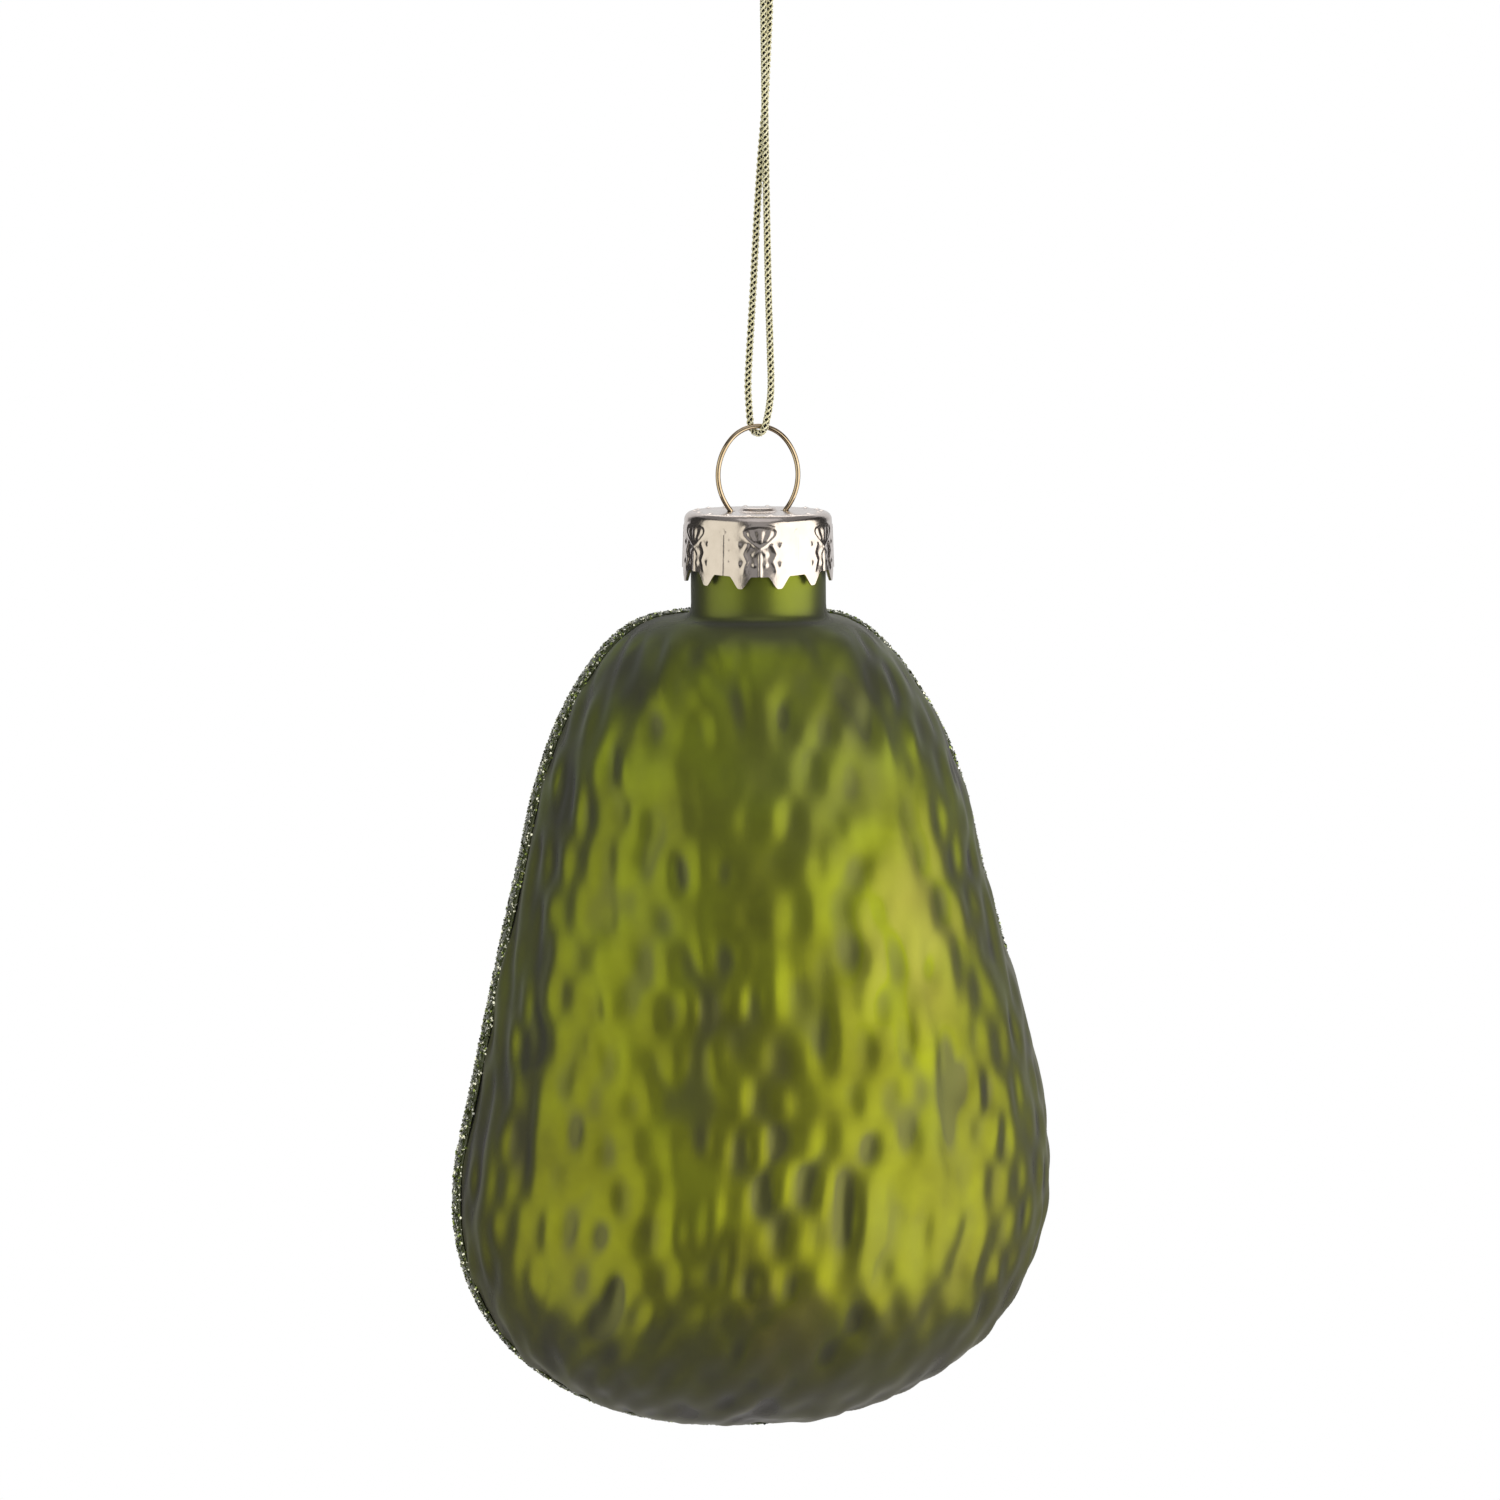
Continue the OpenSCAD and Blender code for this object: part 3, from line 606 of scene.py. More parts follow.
class ORNAMENT_OT_stage(bpy.types.Operator):
    """Sets up the camera, the soft lights and the paper backdrop"""
    bl_idname = "ornament.stage"
    bl_label = "Stage"

    def execute(self, context):
        settings = context.scene.ornament_stage
        scene = context.scene
        scene.view_settings.view_transform = "Standard"
        aim = Vector((NECK_X * MM, 0, -settings.aim_height))
        left = Vector((-math.cos(settings.azimuth), -math.sin(settings.azimuth), 0))
        aim += left * settings.aim_side
        camera = bpy.data.cameras.new("camera")
        camera.sensor_width = 36
        camera.lens = camera.sensor_width * settings.distance / settings.view_width
        camera.clip_end = 20
        seat = bpy.data.objects.new("camera", camera)
        scene.collection.objects.link(seat)
        self.place(seat, aim, settings.azimuth, settings.elevation, settings.distance)
        scene.camera = seat
        # Name, azimuth and elevation in degrees, distance, width and height in metres, brightness,
        # colour
        panels = [("panel_left", 108, -11, 0.9, 1.2, 1.66, 1.12, "#FFFDEC"),
                  ("panel_right", 233.5, -11, 0.9, 1.45, 1.3, 2.12, "#FFFBF0"),
                  ("panel_top", 172, 64, 0.9, 0.8, 0.7, 0.5, "#FFFFFF"),
                  ("panel_fill", 172, 20, 1.0, 0.7, 1.0, 0.33, "#FFFFFF"),
                  ("panel_roof", 170, 89, 1.0, 2.4, 2.4, 0.2, "#FFFFFF"),
                  ("panel_back", 350, 4, 1.2, 2.0, 2.0, 0.75, "#FFFFFF"),
                  ("panel_front", 350, 50, 1.2, 0.7, 0.7, 1.15, "#FFFDF8")]
        for name, azimuth, elevation, distance, wide, high, bright, code in panels:
            light = bpy.data.lights.new(name, "AREA")
            light.shape, light.size, light.size_y = "RECTANGLE", wide, high
            light.energy = bright * math.pi * wide * high
            light.color = linear(code)
            lamp = bpy.data.objects.new(name, light)
            scene.collection.objects.link(lamp)
            self.place(lamp, aim, math.radians(azimuth), math.radians(elevation), distance)
            lamp.visible_camera = False
        world = bpy.data.worlds.new("room")
        world.use_nodes = True
        background = world.node_tree.nodes["Background"]
        background.inputs["Color"].default_value = (*[settings.ambient] * 3, 1.0)
        scene.world = world
        self.backdrop(settings)
        return {"FINISHED"}

    @staticmethod
    def place(seat, aim, azimuth, elevation, distance):
        """Puts a camera or lamp round the aim and turns it there."""
        away = Vector((math.sin(azimuth) * math.cos(elevation),
                       -math.cos(azimuth) * math.cos(elevation), math.sin(elevation)))
        seat.location = aim + away * distance
        seat.rotation_euler = (-away).to_track_quat("-Z", "Y").to_euler()

    @staticmethod
    def backdrop(settings):
        """Round cove of paper, seen by the camera alone: a floor that sweeps up to a wall and a
        ceiling."""
        floor, wall, ceiling, bend, count = -2900.0, 3600.0, 2900.0, 900.0, 48
        turn = np.radians(np.linspace(0, 90, 7))
        middle, low, high = wall - bend, floor + bend, ceiling - bend
        profile = [(middle + bend * math.sin(a), low - bend * math.cos(a)) for a in turn]
        profile += [(middle + bend * math.cos(a), high + bend * math.sin(a)) for a in turn]
        points = [(r * x, r * y, z) for r, z in profile for x, y in circle(count)]
        faces = ring_quads(len(profile), count)
        faces += [list(range(count)), list(range(len(points) - 1, len(points) - count - 1, -1))]
        cove = mesh_object("paper_cove", points, faces, make_materials(settings, seamless_paper))
        cove.visible_diffuse = cove.visible_glossy = cove.visible_transmission = False
        cove.visible_shadow = False


def even_path(points, step):
    """Smooth curve through points, as places at even steps along it."""
    p = np.asarray(points, float)
    p = np.concatenate([p[:1], p, p[-1:]])
    steps_between = 24
    t = np.linspace(0, 1, steps_between, endpoint=False)[:, None]
    curve = [0.5 * (2 * b + (c - a) * t + (2 * a - 5 * b + 4 * c - d) * t ** 2
                    + (3 * b - a - 3 * c + d) * t ** 3)
             for a, b, c, d in zip(p, p[1:], p[2:], p[3:])]
    curve = np.concatenate(curve + [p[-1:]])
    run = running(np.linalg.norm(np.diff(curve, axis=0), axis=1))
    even = np.linspace(0, run[-1], max(2, round(run[-1] / step)) + 1)
    return np.stack([np.interp(even, run, curve[:, k]) for k in range(3)], 1), even


def carried_frame(path):
    """Two directions across a path that turn as little as they can along it."""
    along = unit(np.gradient(path, axis=0))
    side = np.cross(along[0], [0.3, 1.0, 0.2])
    sides = []
    for way in along:
        side = unit(side - way * (side @ way))
        sides.append(side)
    sides = np.array(sides)
    return along, sides, np.cross(along, sides)


def sweep(path, across, up, ring):
    """Closed tube: points and faces of a ring of (across, up) offsets carried along a path."""
    count = len(ring)
    points = path[:, None] + ring[None, :, :1] * across[:, None] + ring[None, :, 1:] * up[:, None]
    points = points.reshape(-1, 3)
    faces = ring_quads(len(path), count)
    faces += [list(range(count))[::-1], list(range(len(points) - count, len(points)))]
    return points, faces


def braid(routes, sizes):
    """Braided thread along routes: three flat yarns one way and three thin ones the other way, over
    and under each other, round a dark core that shows between them. Gives points, faces and
    material slots."""
    # Half a yarn's thickness, its play over and under, how far it stands out, and the core's depth
    half_thick, play, stand_out, core_depth = 0.06, 0.05, 0.04, 0.06
    step, core_steps = 0.11, 3
    seat = sizes.thread_diameter / 2 - half_thick - play + stand_out
    ring = circle(6)
    points, faces, slots, count = [], [], [], 0
    for route in routes:
        path, run = even_path(route, step)
        side, up = carried_frame(path)[1:]
        core = [v[::core_steps] for v in (path, side, up)]
        tubes = [(*sweep(*core, ring * (seat - core_depth)), 1)]
        turn = 2 * math.pi * run / sizes.braid_pitch
        for way, half_wide in ((1, 0.12), (-1, 0.06)):
            for yarn in range(3):
                angle = (way * turn + yarn * 2 * math.pi / 3)[:, None]
                out = np.cos(angle) * side + np.sin(angle) * up
                line = path + out * (seat + way * play * np.cos(3 * turn)[:, None])
                flat = unit(np.cross(np.gradient(line, axis=0), out))
                tubes.append((*sweep(line, flat, out, ring * [half_wide, half_thick]), 0))
        for tube, quads, slot in tubes:
            points.append(tube)
            faces += [[i + count for i in quad] for quad in quads]
            slots += [slot] * len(quads)
            count += len(tube)
    return np.concatenate(points), faces, slots


class ORNAMENT_OT_thread(bpy.types.Operator):
    """Makes the braided thread, looped through the wire ring, and the knot that closes it"""
    bl_idname = "ornament.thread"
    bl_label = "Thread and knot"

    # Route from the knot down behind the wire, in millimetres from the wire at the ring's top
    down = [(-1.45, -0.3, 55), (-1.45, -0.35, 50), (-1.2, -0.45, 44), (-0.9, -0.5, 38),
            (-0.4, -0.5, 32), (0.05, -0.5, 25), (0.5, -0.65, 16), (0.85, -1, 9), (1, -1.2, 5),
            (0.88, -1.28, 2.5)]
    # Route from the wire up in front of it to the knot
    rise = [(-1.15, 1.28, 2.5), (-1.36, 1.2, 5), (-1.3, 1.03, 9), (-1.14, 0.7, 16),
            (-0.98, 0.5, 25), (-0.85, 0.5, 32), (-0.75, 0.5, 38), (-0.67, 0.45, 44),
            (-0.6, 0.35, 50), (-0.55, 0.3, 55)]

    def execute(self, context):
        settings = context.scene.ornament_hanger
        sizes = millimetres(settings)
        materials = make_materials(settings, metallised_foil_yarn, spun_dark_filament)
        # Radius of the turn round the wire, room between the two, and the way that it crosses
        bend, room, aside, ahead = 1.45, 0.12, -0.5, math.sqrt(0.75)
        under = sizes.wire_diameter / 2 + sizes.thread_diameter / 2 + room
        turn = [(aside * bend * math.sin(a), ahead * bend * math.sin(a),
                 bend * (1 - math.cos(a)) - under) for a in np.radians(np.arange(-75, 76, 25))]
        route = np.array(self.down + turn + self.rise) + [NECK_X, 0, -sizes.thread_reach]
        points, faces, slots = braid([route], sizes)
        thread = mesh_object("braided_thread", points, faces, materials, slots)
        knot = self.knot(sizes, materials)
        for piece, node in ((thread, "thread"), (knot, "thread_knot")):
            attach(piece, "thread")
            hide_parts(node)
        return {"FINISHED"}

    @staticmethod
    def knot(sizes, materials):
        """Overhand knot drawn tight, with two cut tails."""
        radius, top, tail = sizes.thread_diameter / 2, sizes.knot_height, sizes.tail_length
        wide, high = sizes.knot_diameter / 2 - radius, top / 2 - radius
        t = np.linspace(0, 2 * math.pi, 61)
        spread = wide / 3 * (2 + np.cos(3 * t))
        wraps = np.stack([spread * np.cos(2 * t), spread * np.sin(2 * t),
                          top / 2 + high * np.sin(3 * t)], 1)
        tails = [[(side * 0.5, 0, top - 1.6), (side * 0.75, 0.1 * side, top + 0.3),
                  (side * 1.1, 0.2 * side, top + 0.4 * tail), (side * 1.75, 0.1, top + 0.97 * tail)]
                 for side in (-1, 1)]
        points, faces, slots = braid([wraps, *tails], sizes)
        return mesh_object("overhand_knot", points, faces, materials, slots)


class ORNAMENT_OT_wire(bpy.types.Operator):
    """Makes the wire hanger, with its ring above the cap and its sprung legs in the neck"""
    bl_idname = "ornament.wire"
    bl_label = "Wire hanger"

    # Turns in degrees where the ring's top ends, at the cap, along the legs and at the curls' ends
    top_turn, waist_turn, leg_turn, curl_turn = 50, 128, 73.5, 140

    def execute(self, context):
        settings = context.scene.ornament_hanger
        sizes = millimetres(settings)
        top, side, waist = sizes.ring_top_radius, sizes.ring_side_radius, sizes.waist_radius
        curl, leg, radius = sizes.curl_radius, sizes.leg_length, sizes.wire_diameter / 2

        def heading(turn):
            turn = np.radians(turn)
            return np.stack([np.sin(turn), np.cos(turn)], -1)

        top_centre = np.array([0, -sizes.thread_reach - top])
        side_centre = top_centre - (side - top) * heading(self.top_turn)
        waist_centre = side_centre + (side + waist) * heading(self.waist_turn)
        leg_start = waist_centre - waist * heading(self.leg_turn)
        slope = heading(self.leg_turn)[::-1] * [1, -1]
        curl_centre = leg_start + leg * slope - curl * heading(self.leg_turn)
        half = np.concatenate([
            top_centre + top * heading(np.linspace(0, self.top_turn, 14)),
            side_centre + side * heading(np.linspace(self.top_turn, self.waist_turn, 26)[1:]),
            waist_centre - waist * heading(np.linspace(self.waist_turn, self.leg_turn, 12)[1:]),
            leg_start + np.linspace(0, leg, 14)[1:, None] * slope,
            curl_centre + curl * heading(np.linspace(self.leg_turn, self.curl_turn, 10)[1:])])
        line = np.concatenate([half[:0:-1] * [-1, 1], half])
        path = np.stack([line[:, 0] + NECK_X, 0 * line[:, 0], line[:, 1]], 1)
        ring = radius * circle(18)
        along, across, up = carried_frame(path)
        # The cut ends are broken by a small bevel
        bevel, narrowed = 0.12, 0.7
        path = np.concatenate([path[:1] - along[:1] * bevel, path, path[-1:] + along[-1:] * bevel])
        across, up = (np.concatenate([v[:1], v, v[-1:]]) for v in (across, up))
        points, faces = sweep(path, across, up, ring)
        for cut, middle in ((slice(len(ring)), path[0]), (slice(-len(ring), None), path[-1])):
            points[cut] = middle + (points[cut] - middle) * narrowed
        wire = mesh_object("spring_wire", points, faces,
                           make_materials(settings, brassed_spring_wire))
        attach(wire, "hanger")
        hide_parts("hanger_wire")
        return {"FINISHED"}


class ORNAMENT_OT_cap(bpy.types.Operator):
    """Makes the stamped cap with its toothed hem, embossed skirt and two wire holes"""
    bl_idname = "ornament.cap"
    bl_label = "Stamped cap"

    # Points round the cap, and rings of its top, bend and skirt, outside and inside
    columns, outer_rings, inner_rings = 480, (26, 8, 66), (10, 6, 12)
    # One sixth of the stamped pattern, drawn about its middle: points in millimetres along the
    # skirt and above the roots of the teeth, with each line's radius and share of the relief. The
    # right half is given.
    strokes = [
        ([(0, 0.1), (0, 3.5)], 0.2, 1.0),
        ([(0, 3.5), (0.55, 3.8), (1.3, 4.35), (1.95, 4.95), (2.1, 5.45), (1.8, 5.85), (0.9, 6.05),
          (0, 6.1)], 0.22, 0.9),
        ([(0, 4.5), (0, 5.2)], 0.5, 1.2),
        ([(0.75, 4.4), (1.2, 5.05)], 0.38, 1.0),
        ([(0.2, 3.1), (0.7, 2.7)], 0.24, 0.8),
        ([(0.65, 1.45), (0.65, 1.5)], 0.26, 0.8),
        ([(1.5, 3.75), (1.75, 3.3), (2.0, 2.75), (1.75, 2.3), (1.5, 1.85), (1.8, 1.3),
          (1.95, 0.75)], 0.24, 1.0),
        ([(2.65, 3.8), (2.65, 3.85)], 0.26, 1.0),
        ([(2.6, 1.5), (2.6, 1.55)], 0.28, 1.0),
        ([(4.0, 4.35), (4.0, 4.4)], 0.15, 0.6),
        ([(4.0, 3.1), (4.0, 3.15)], 0.15, 0.6),
        ([(4.0, 1.8), (4.0, 1.85)], 0.15, 0.6),
        ([(4.69, 0.1), (4.69, 4.9)], 0.17, 0.8),
        ([(4.69, 5.0), (4.45, 5.3), (4.69, 5.6)], 0.17, 0.8),
    ]

    def execute(self, context):
        settings = context.scene.ornament_cap
        sizes = millimetres(settings)
        hem = HEM_TIPS + sizes.tooth_length
        plate = hem + sizes.skirt
        angle = np.arange(self.columns) * 2 * math.pi / self.columns
        outer = self.surface(sizes, angle, plate, hem, 0, self.outer_rings)
        relief = self.relief(sizes, angle, outer, hem)
        # The skirt is a little out of round towards the hem
        wobble = 0.03 * np.sin(5 * angle + 1)[None] + 0.02 * np.sin(11 * angle)[None]
        out = outer * [1, 1, 0]
        lean = smoothstep(sizes.radius - sizes.rounding, sizes.radius, np.linalg.norm(out, axis=2))
        push = (relief + wobble * (plate - outer[..., 2]) / sizes.skirt) * lean
        outer += unit(out) * push[..., None]
        outer[..., 2] += self.studs(sizes, outer, plate) * (1 - lean)
        inner = self.surface(sizes, angle, plate, hem, sizes.sheet, self.inner_rings)[::-1]
        rings = np.concatenate([outer, inner])
        top = plate + sizes.button_rise
        poles = [[0, 0, top], [0, 0, top - sizes.sheet]]
        points = np.concatenate([rings.reshape(-1, 3), poles]) + [NECK_X, 0, 0]
        faces = [face[::-1] for face in shell_faces(len(rings), self.columns)]
        cap = mesh_object("stamped_cap", points, faces,
                          make_materials(settings, gold_washed_tinplate))
        self.pierce(cap, sizes, plate)
        sharp_edge = math.radians(55)
        cap.data.set_sharp_from_angle(angle=sharp_edge)
        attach(cap, "cap")
        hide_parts("cap")
        return {"FINISHED"}

    @staticmethod
    def surface(sizes, angle, plate, hem, inset, counts):
        """Rings of one side of the sheet, from the middle of the top out and down to the toothed
        hem."""
        radius, flare, rounding = sizes.radius, sizes.flare, sizes.rounding
        rise, button, tooth = sizes.button_rise, sizes.button_radius, sizes.tooth_length
        pitch = 2 * math.pi * (radius + flare) / sizes.teeth
        turned = (angle + math.pi / 2 - sizes.turn) / (2 * math.pi) * sizes.teeth
        from_gap = np.abs((turned + 0.5) % 1 - 0.5)
        beside = (0.5 - from_gap) * pitch
        root, tip = sizes.tooth_width / 2, sizes.tip_width / 2
        x = np.clip((root - beside) / (root - tip), 0, 1)
        point = 0.6 * x + 0.4 * smoothstep(0, 1, x)
        # The skirt was pressed on a little short at the sides
        short, off_side, first = 0.6, math.radians(10), 0.3
        low = hem - tooth * point + short * np.cos(angle + off_side) ** 2
        flat, bend, fall = counts
        r_flat = np.concatenate([np.linspace(first, button - rise, 4),
                                 np.linspace(button - 0.7 * rise, button, 4),
                                 np.linspace(button + 0.2, radius - rounding, flat)])
        z_flat = plate - inset + rise * (1 - smoothstep(button - rise - 0.1, button + 0.1, r_flat))
        turn = np.linspace(0, math.pi / 2, bend + 1)[1:]
        r_bend = radius - rounding + (rounding - inset) * np.sin(turn)
        z_bend = plate - rounding + (rounding - inset) * np.cos(turn)
        rings = [np.stack([r * np.cos(angle), r * np.sin(angle), z + 0 * angle], 1)
                 for r, z in zip([*r_flat, *r_bend], [*z_flat, *z_bend])]
        start = plate - rounding
        for t in np.linspace(0, 1, fall + 1)[1:]:
            z = start + (low - start) * t
            r = radius - inset + flare * (start - z) / (start - hem + tooth)
            rings.append(np.stack([r * np.cos(angle), r * np.sin(angle), z], 1))
        return np.array(rings)

    def relief(self, sizes, angle, surface, hem):
        """Height of the stamped pattern over the outside of the cap."""
        radius = sizes.radius + sizes.flare / 2
        sixth = math.pi / 3
        # The pattern's middle is over a gap between two teeth
        turn = (angle - math.pi / 2 - sizes.turn + sixth / 2) % sixth - sixth / 2
        along = np.abs(turn)[None] * radius + 0 * surface[..., 2]
        up = surface[..., 2] - hem
        place = np.stack([along, up], -1)
        height = np.zeros(along.shape)
        for line, width, share in self.strokes:
            gap = np.full(along.shape, np.inf)
            for a, b in zip(np.array(line), np.array(line[1:])):
                t = np.clip(((place - a) @ (b - a)) / ((b - a) @ (b - a)), 0, 1)
                gap = np.minimum(gap, np.linalg.norm(place - a - t[..., None] * (b - a), axis=-1))
            height = np.maximum(height, share * np.exp(-(gap / width) ** 2))
        # The sheet is drawn in beside the stem
        height -= 0.7 * np.exp(-((along - 1.15) / 0.6) ** 2 - ((up - 2.4) / 1.2) ** 2)
        return height * sizes.relief

    @staticmethod
    def studs(sizes, surface, plate):
        """Small studs pressed round the edge of the top."""
        count, inset, rise, spread = 18, 0.25, 0.16, 0.28
        radius = sizes.radius - sizes.rounding - inset
        height = np.zeros(surface.shape[:2])
        for k in range(count):
            a = sizes.turn + k * 2 * math.pi / count
            gap = np.hypot(surface[..., 0] - radius * math.cos(a),
                           surface[..., 1] - radius * math.sin(a))
            height += rise * np.exp(-(gap / spread) ** 2)
        return height * (surface[..., 2] > plate - 0.6)

    @staticmethod
    def pierce(cap, sizes, plate):
        """Cuts the two wire holes."""
        sides, reach = 24, 1.2
        ring = sizes.hole_diameter / 2 * circle(sides)
        points, faces = [], []
        for side in (-1, 1):
            base = len(points)
            points += [(NECK_X + side * sizes.hole_reach + x, y, plate + z)
                       for z in (-reach, reach) for x, y in ring]
            faces += ring_quads(2, sides, base)
            faces += [list(range(base + sides - 1, base - 1, -1)),
                      list(range(base + sides, base + 2 * sides))]
        punch = mesh_object("punch", points, faces, [])
        cut = cap.modifiers.new("holes", "BOOLEAN")
        cut.object, cut.operation, cut.solver = punch, "DIFFERENCE", "EXACT"
        pierced = bpy.data.meshes.new_from_object(
            cap.evaluated_get(bpy.context.evaluated_depsgraph_get()))
        cap.modifiers.clear()
        cap.data = pierced
        bpy.data.objects.remove(punch)


class ORNAMENT_OT_glass(bpy.types.Operator):
    """Makes the hollow glass body, with its pebbled skin, painted cut face, pit and open neck"""
    bl_idname = "ornament.glass"
    bl_label = "Glass body"

    # Points round the skin side and the cut face, rings inside, and millimetres between rings
    # outside
    skin_columns, face_columns, inside_rings, ring_step = 212, 124, 34, 0.66
    # First and last step of the form, up the outside and down the inside
    outside_ends, inside_ends = (0.06, 2.85), (2.9, 0.08)

    def execute(self, context):
        settings = context.scene.ornament_glass
        sizes = millimetres(settings)
        form = GlassForm(sizes)
        angles = np.radians(np.concatenate([
            np.linspace(0, 180, self.skin_columns, endpoint=False),
            np.linspace(180, 360, self.face_columns, endpoint=False)]))
        columns = len(angles)
        skin = form.skin(self.even_steps(form), angles)
        dent_darkening_and_painted_light = np.zeros(skin.shape[:2])
        back, face = slice(self.skin_columns + 1), slice(self.skin_columns, None)
        relief, dent_darkening_and_painted_light[:, back] = pebbles(skin[:, back], sizes)
        skin[:, back] += self.normals(skin[:, back]) * relief[..., None]
        skin[:, face] = self.pit(skin[:, face], form, sizes)
        neck = self.neck(skin[-2:], form, sizes)
        inside = form.skin(np.linspace(*self.inside_ends, self.inside_rings), angles, form.wall)
        rings = np.concatenate([skin, neck, inside])
        poles = [[0, form.rim_line, 0], [0, form.rim_line, form.wall]]
        points = sway(np.concatenate([rings.reshape(-1, 3), poles]))
        faces = shell_faces(len(rings), columns)
        # Slot of each face: lacquer, paint that ends under the glitter, and silvering from the lip
        # in
        lacquer, paint, silver = 0, 1, 2
        lip = len(skin) + len(neck) * 5 // 8
        ring, column = np.divmod(np.arange((len(rings) - 1) * columns), columns)
        painted = (column >= self.skin_columns) & (rings[ring, column, 1] < form.rim_line)
        slots = np.where(ring >= lip, silver, np.where(painted, paint, lacquer))
        ends = [(paint if k >= self.skin_columns else lacquer, silver) for k in range(columns)]
        # Painted shade on the neck: darkest in the fillet at its foot, lighter over the rest of it,
        # and darker down its sides
        painted_fillet_shade = np.interp(np.arange(len(neck)), (8, 14), (1, 0.3))[:, None]
        painted_flank_shade = smoothstep(0.62, 0.95, np.abs(np.cos(angles)))
        dent = np.concatenate([dent_darkening_and_painted_light.ravel(), np.maximum(painted_fillet_shade, painted_flank_shade).ravel(),
                               np.zeros(self.inside_rings * columns + len(poles))])
        values = {"dent": dent, **self.face_values(points, form, sizes)}
        materials = make_materials(settings, satin_lacquer_on_silvered_glass,
                                   brushed_acrylic_paint, mirror_silvering)
        glass = mesh_object("blown_glass", hang(points), faces, materials,
                            np.append(slots, ends), values)
        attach(glass, "glass")
        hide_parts("glass_body")
        return {"FINISHED"}

    def even_steps(self, form):
        """Steps up the glass that are about even in millimetres along its outline."""
        s = np.linspace(*self.outside_ends, 4000)
        levels = form.levels(s)
        run = running(np.hypot(np.diff(levels[0]), np.diff(levels[4])))
        return np.interp(np.linspace(0, run[-1], round(run[-1] / self.ring_step)), run, s)

    @staticmethod
    def normals(grid):
        """Outward normals of a grid of points that runs to the left and up."""
        return unit(np.cross(np.gradient(grid, axis=1), np.gradient(grid, axis=0)))

    @staticmethod
    def pit(face, form, sizes):
        """Raises the pit out of the cut face with a soft edge, and gives the face a slight blown
        wave."""
        x, y, z = face[..., 0], face[..., 1], face[..., 2]
        half, rise, soft = sizes.pit_diameter / 2, sizes.pit_rise, 1.6
        ball = (half ** 2 + rise ** 2) / (2 * rise)
        centre = ball - rise - form.face
        off = ball ** 2 - x ** 2 - (z - sizes.pit_height) ** 2
        ahead = y - centre + np.sqrt(np.maximum(off, 0))
        raised = np.where(off > 0, (ahead + np.sqrt(ahead ** 2 + soft ** 2)) / 2, 0)
        flat = smoothstep(0.4, 2.2, form.rim_line - y)
        wave = 0.08 * np.sin(x * 0.31 + 0.5) * np.sin(z * 0.19)
        moved = face.copy()
        moved[..., 1] -= (raised + wave) * flat
        return moved

    @staticmethod
    def neck(skin, form, sizes):
        """Rings of the neck above the last two of the skin: foot, tube, lip and bore."""
        fillet, wall, radius = sizes.foot_fillet, form.neck_wall, form.neck
        foot, top, lip = form.height - 0.2 * form.wall, NECK_LIP - GLASS_FOOT, form.neck_wall / 2
        below, ring = skin
        turn = np.arctan2(ring[:, 1], ring[:, 0])
        around = np.stack([np.cos(turn), np.sin(turn), 0 * turn], 1)

        def level(r, z):
            return around * r + [0, 0, z]

        tube = level(radius, foot + fillet)
        reach = np.linalg.norm(tube - ring, axis=1, keepdims=True)
        ease = ring + unit(ring - below) * 0.5 * reach
        rings = [bezier(ring, ease, tube - [0, 0, 1.2 * fillet], tube, t)
                 for t in np.linspace(0, 1, 12)[1:]]
        rings += [level(radius, z) for z in np.linspace(foot + fillet, top - lip, 7)[1:]]
        rings += [level(radius - lip + lip * math.cos(a), top - lip + lip * math.sin(a))
                  for a in np.radians(np.linspace(22.5, 180, 8))]
        rings += [level(radius - wall, z)
                  for z in np.linspace(top - lip, form.height - form.wall, 8)[1:]]
        return np.array(rings)

    @staticmethod
    def face_values(points, form, sizes):
        """How far each point lies from the rim and from the pit's middle, for the paint."""
        loop = sway(form.rim_loop(form.rim_line - 0.2, 0.0, 120))
        tree = KDTree(len(loop))
        for i, p in enumerate(loop):
            tree.insert((p[0], 0, p[2]), i)
        tree.balance()
        # The flesh pales within this many millimetres of the rim
        paling = 13
        rim = np.ones(len(points))
        for i in np.flatnonzero(points[:, 1] < form.rim_line + 0.5):
            rim[i] = min(1.0, tree.find((points[i, 0], 0, points[i, 2]))[2] / paling)
        middle = sway(np.array([[0, 0, sizes.pit_height]]))[0]
        off = points - middle
        pit = np.hypot(off[:, 0], off[:, 2]) / (sizes.pit_diameter / 2)
        return {"rim_distance": rim, "pit_distance": pit}


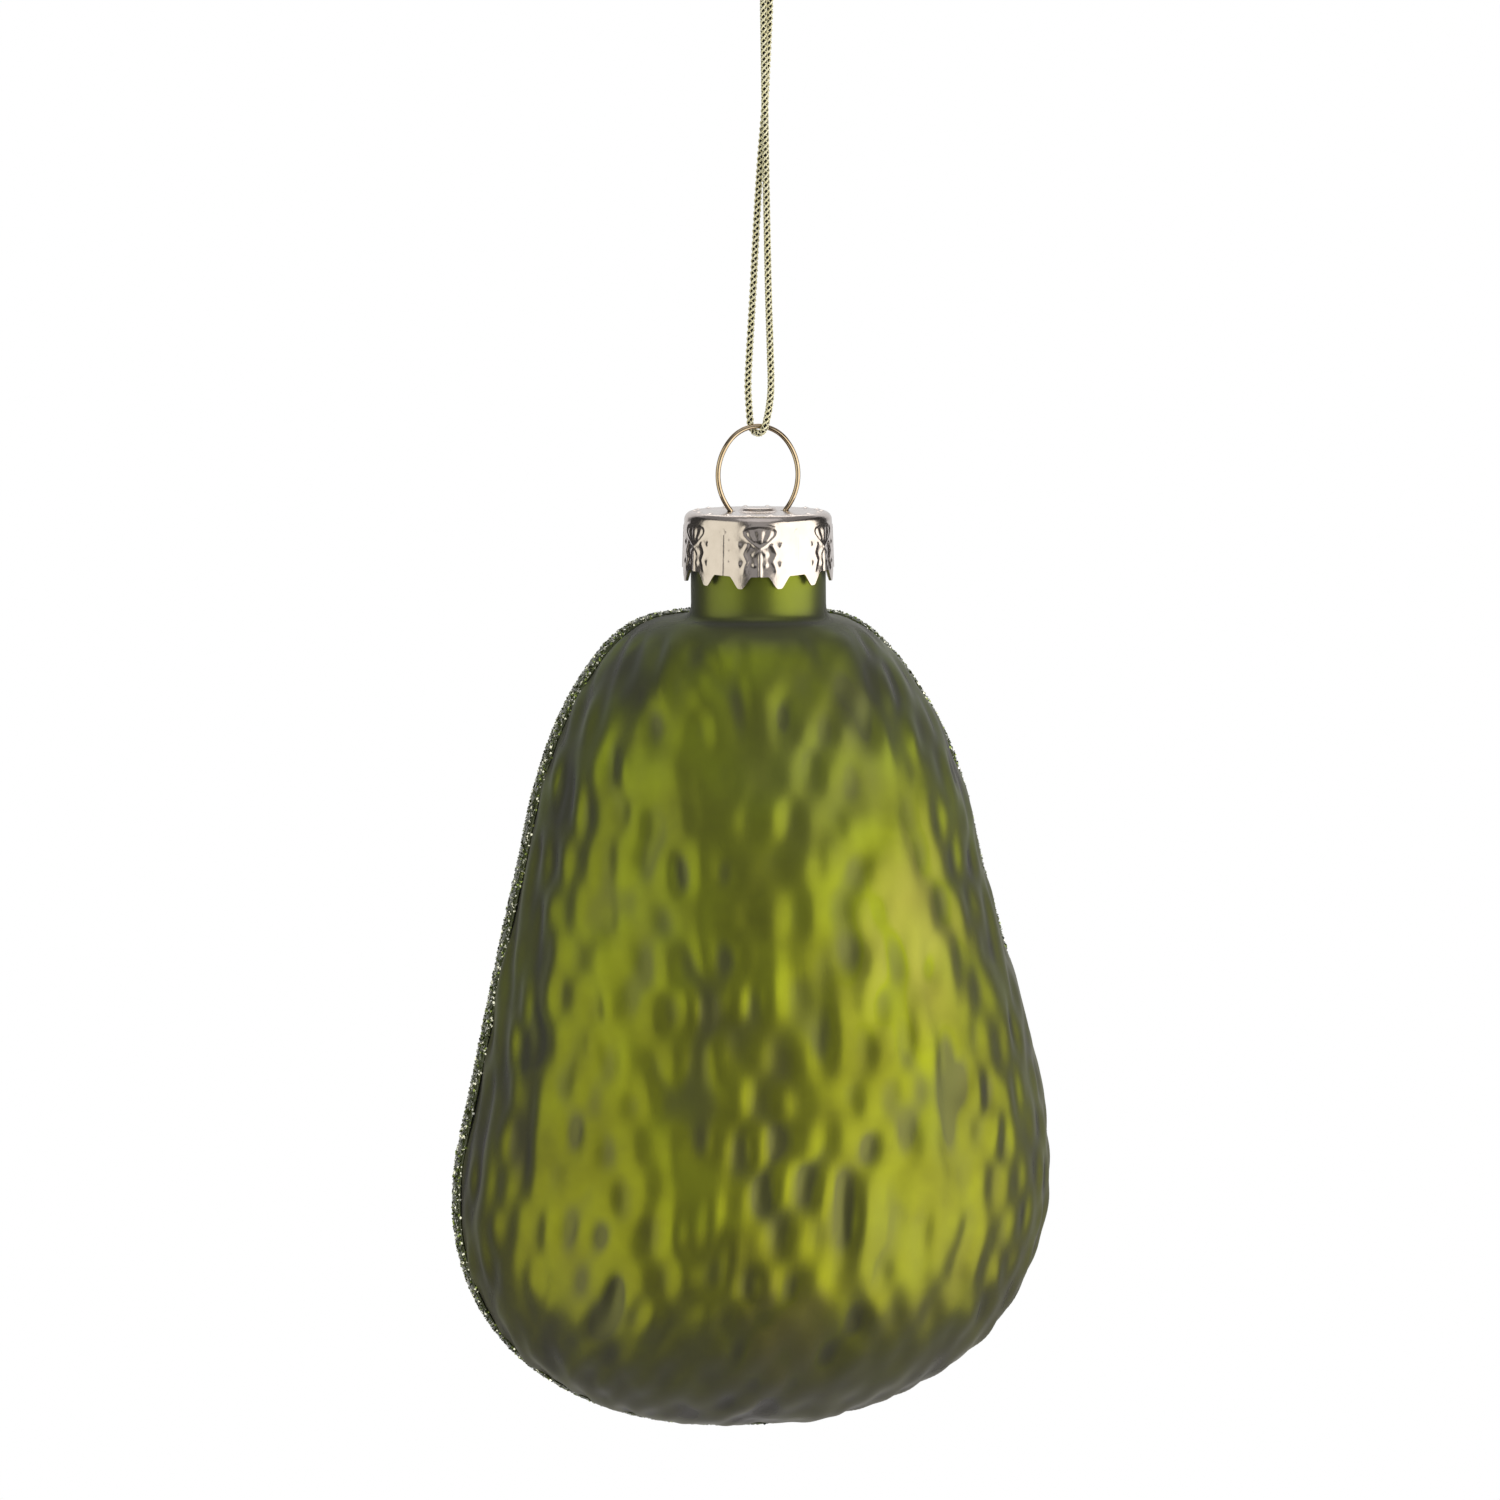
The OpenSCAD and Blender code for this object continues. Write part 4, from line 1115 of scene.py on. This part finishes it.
class ORNAMENT_OT_glitter(bpy.types.Operator):
    """Makes the line of glue along the rim and scatters the glitter flakes in it"""
    bl_idname = "ornament.glitter"
    bl_label = "Glitter rim"

    def execute(self, context):
        form = GlassForm(millimetres(context.scene.ornament_glass))
        settings = context.scene.ornament_glitter
        sizes = millimetres(settings)
        wide, thick, gap = sizes.width, sizes.thickness, sizes.gap
        middle = form.rim_line + 0.3 * wide
        # The line spread over the skin side, and thins towards the bottom
        arc, steps, sunk = 13, 220, -0.3
        section = [(middle + 0.85 * wide * math.cos(a), (gap + 0.55 * thick) * math.sin(a))
                   for a in np.linspace(0, math.pi, arc)]
        section += [(middle + t * wide, sunk) for t in (-0.4, 0, 0.4)]
        low, full = (np.array([form.rim_loop(y, -min(out, most), steps) for y, out in section])
                     for most in (0.0, thick + gap))
        bead = hang(sway(low + (full - low) * (0.35 + 0.65 * smoothstep(3, 24, full[..., 2:]))))
        count = bead.shape[1]
        closed = np.concatenate([bead, bead[:1]])
        quads = [[v % (len(section) * count) for v in q] for q in ring_quads(len(closed), count)]
        points, faces, tints = self.flakes(bead[:arc], sizes)
        glue = bead.reshape(-1, 3)
        faces = quads + [[i + len(glue) for i in face] for face in faces]
        slots = [0] * len(quads) + [1] * (len(faces) - len(quads))
        rim = mesh_object("glitter_line", np.concatenate([glue, points]), faces,
                          make_materials(settings, tinted_glue, polyester_glitter), slots,
                          {"flake_tint": np.concatenate([np.zeros(len(glue)), tints])})
        rim.data.polygons.foreach_set("use_smooth", np.asarray(slots) == 0)
        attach(rim, "glass")
        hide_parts("glitter_rim")
        return {"FINISHED"}

    @staticmethod
    def flakes(bead, sizes):
        """Square flakes, thicker in the middle, laid at random over the bead."""
        count, half_thick, heart = sizes.flakes, 0.012, 45.0
        rng = np.random.default_rng(FLAKE_SEED)
        nxt = np.roll(bead, -1, axis=1)
        area = np.linalg.norm(np.cross(nxt[:-1] - bead[:-1], bead[1:] - bead[:-1]), axis=2)
        chance = np.cumsum(area.ravel()) / area.sum()
        cell = np.searchsorted(chance, rng.random(count))
        i, k = np.unravel_index(np.minimum(cell, area.size - 1), area.shape)
        u, v = rng.random((2, count, 1))
        a, b, c = bead[i, k], nxt[i, k], bead[i + 1, k]
        normal = unit(np.cross(b - a, c - a))
        # Out of the glass, away from its heart
        away = a - hang(np.array([0, a[:, 1].mean(), heart]))
        normal *= np.sign(np.sum(normal * away, 1, keepdims=True))
        tilt = unit(normal + 0.5 * rng.normal(size=normal.shape))
        side = unit(np.cross(tilt, rng.normal(size=tilt.shape)))
        across = np.cross(tilt, side)
        half = sizes.flake / 2 * rng.uniform(0.65, 1.25, (count, 1))
        lift = rng.uniform(-0.02, 0.08, (count, 1))
        place = a + u * (b - a) + v * (c - a) + normal * lift
        ring = [place + half * (x * side + y * across) for x, y in circle(4)]
        thick = half_thick * tilt
        points = np.stack([*ring, place + thick, place - thick], 1).reshape(-1, 3)
        shape = [[t, (t + 1) % 4, 4] for t in range(4)] + [[(t + 1) % 4, t, 5] for t in range(4)]
        faces = (np.array(shape)[None] + 6 * np.arange(count)[:, None, None]).reshape(-1, 3)
        return points, faces.tolist(), np.repeat(rng.random(count), 6)


class ORNAMENT_PT_sidebar(bpy.types.Panel):
    """Lists the steps that build the ornament"""
    bl_label = "Avocado ornament"
    bl_space_type = "VIEW_3D"
    bl_region_type = "UI"
    bl_category = "Ornament"

    def draw(self, context):
        for step in STEPS:
            self.layout.operator(step.bl_idname)
        for group in GROUPS:
            box = self.layout.box()
            settings = getattr(context.scene, group)
            for name in settings.__annotations__:
                box.prop(settings, name)


STEPS = (ORNAMENT_OT_stage, ORNAMENT_OT_thread, ORNAMENT_OT_wire, ORNAMENT_OT_cap,
         ORNAMENT_OT_glass, ORNAMENT_OT_glitter)
GROUPS = {"ornament_stage": StageSettings, "ornament_hanger": HangerSettings,
          "ornament_cap": CapSettings, "ornament_glass": GlassSettings,
          "ornament_glitter": GlitterSettings}


def register():
    for kind in (*GROUPS.values(), *STEPS, ORNAMENT_PT_sidebar):
        bpy.utils.register_class(kind)
    for name, group in GROUPS.items():
        setattr(bpy.types.Scene, name, PointerProperty(type=group))


def unregister():
    for name in GROUPS:
        delattr(bpy.types.Scene, name)
    for kind in (ORNAMENT_PT_sidebar, *reversed(STEPS), *reversed(GROUPS.values())):
        bpy.utils.unregister_class(kind)


def main():
    register()
    bpy.ops.ornament.stage()
    bpy.ops.ornament.thread()
    bpy.ops.ornament.wire()
    bpy.ops.ornament.cap()
    bpy.ops.ornament.glass()
    bpy.ops.ornament.glitter()


if __name__ == "__main__":
    main()
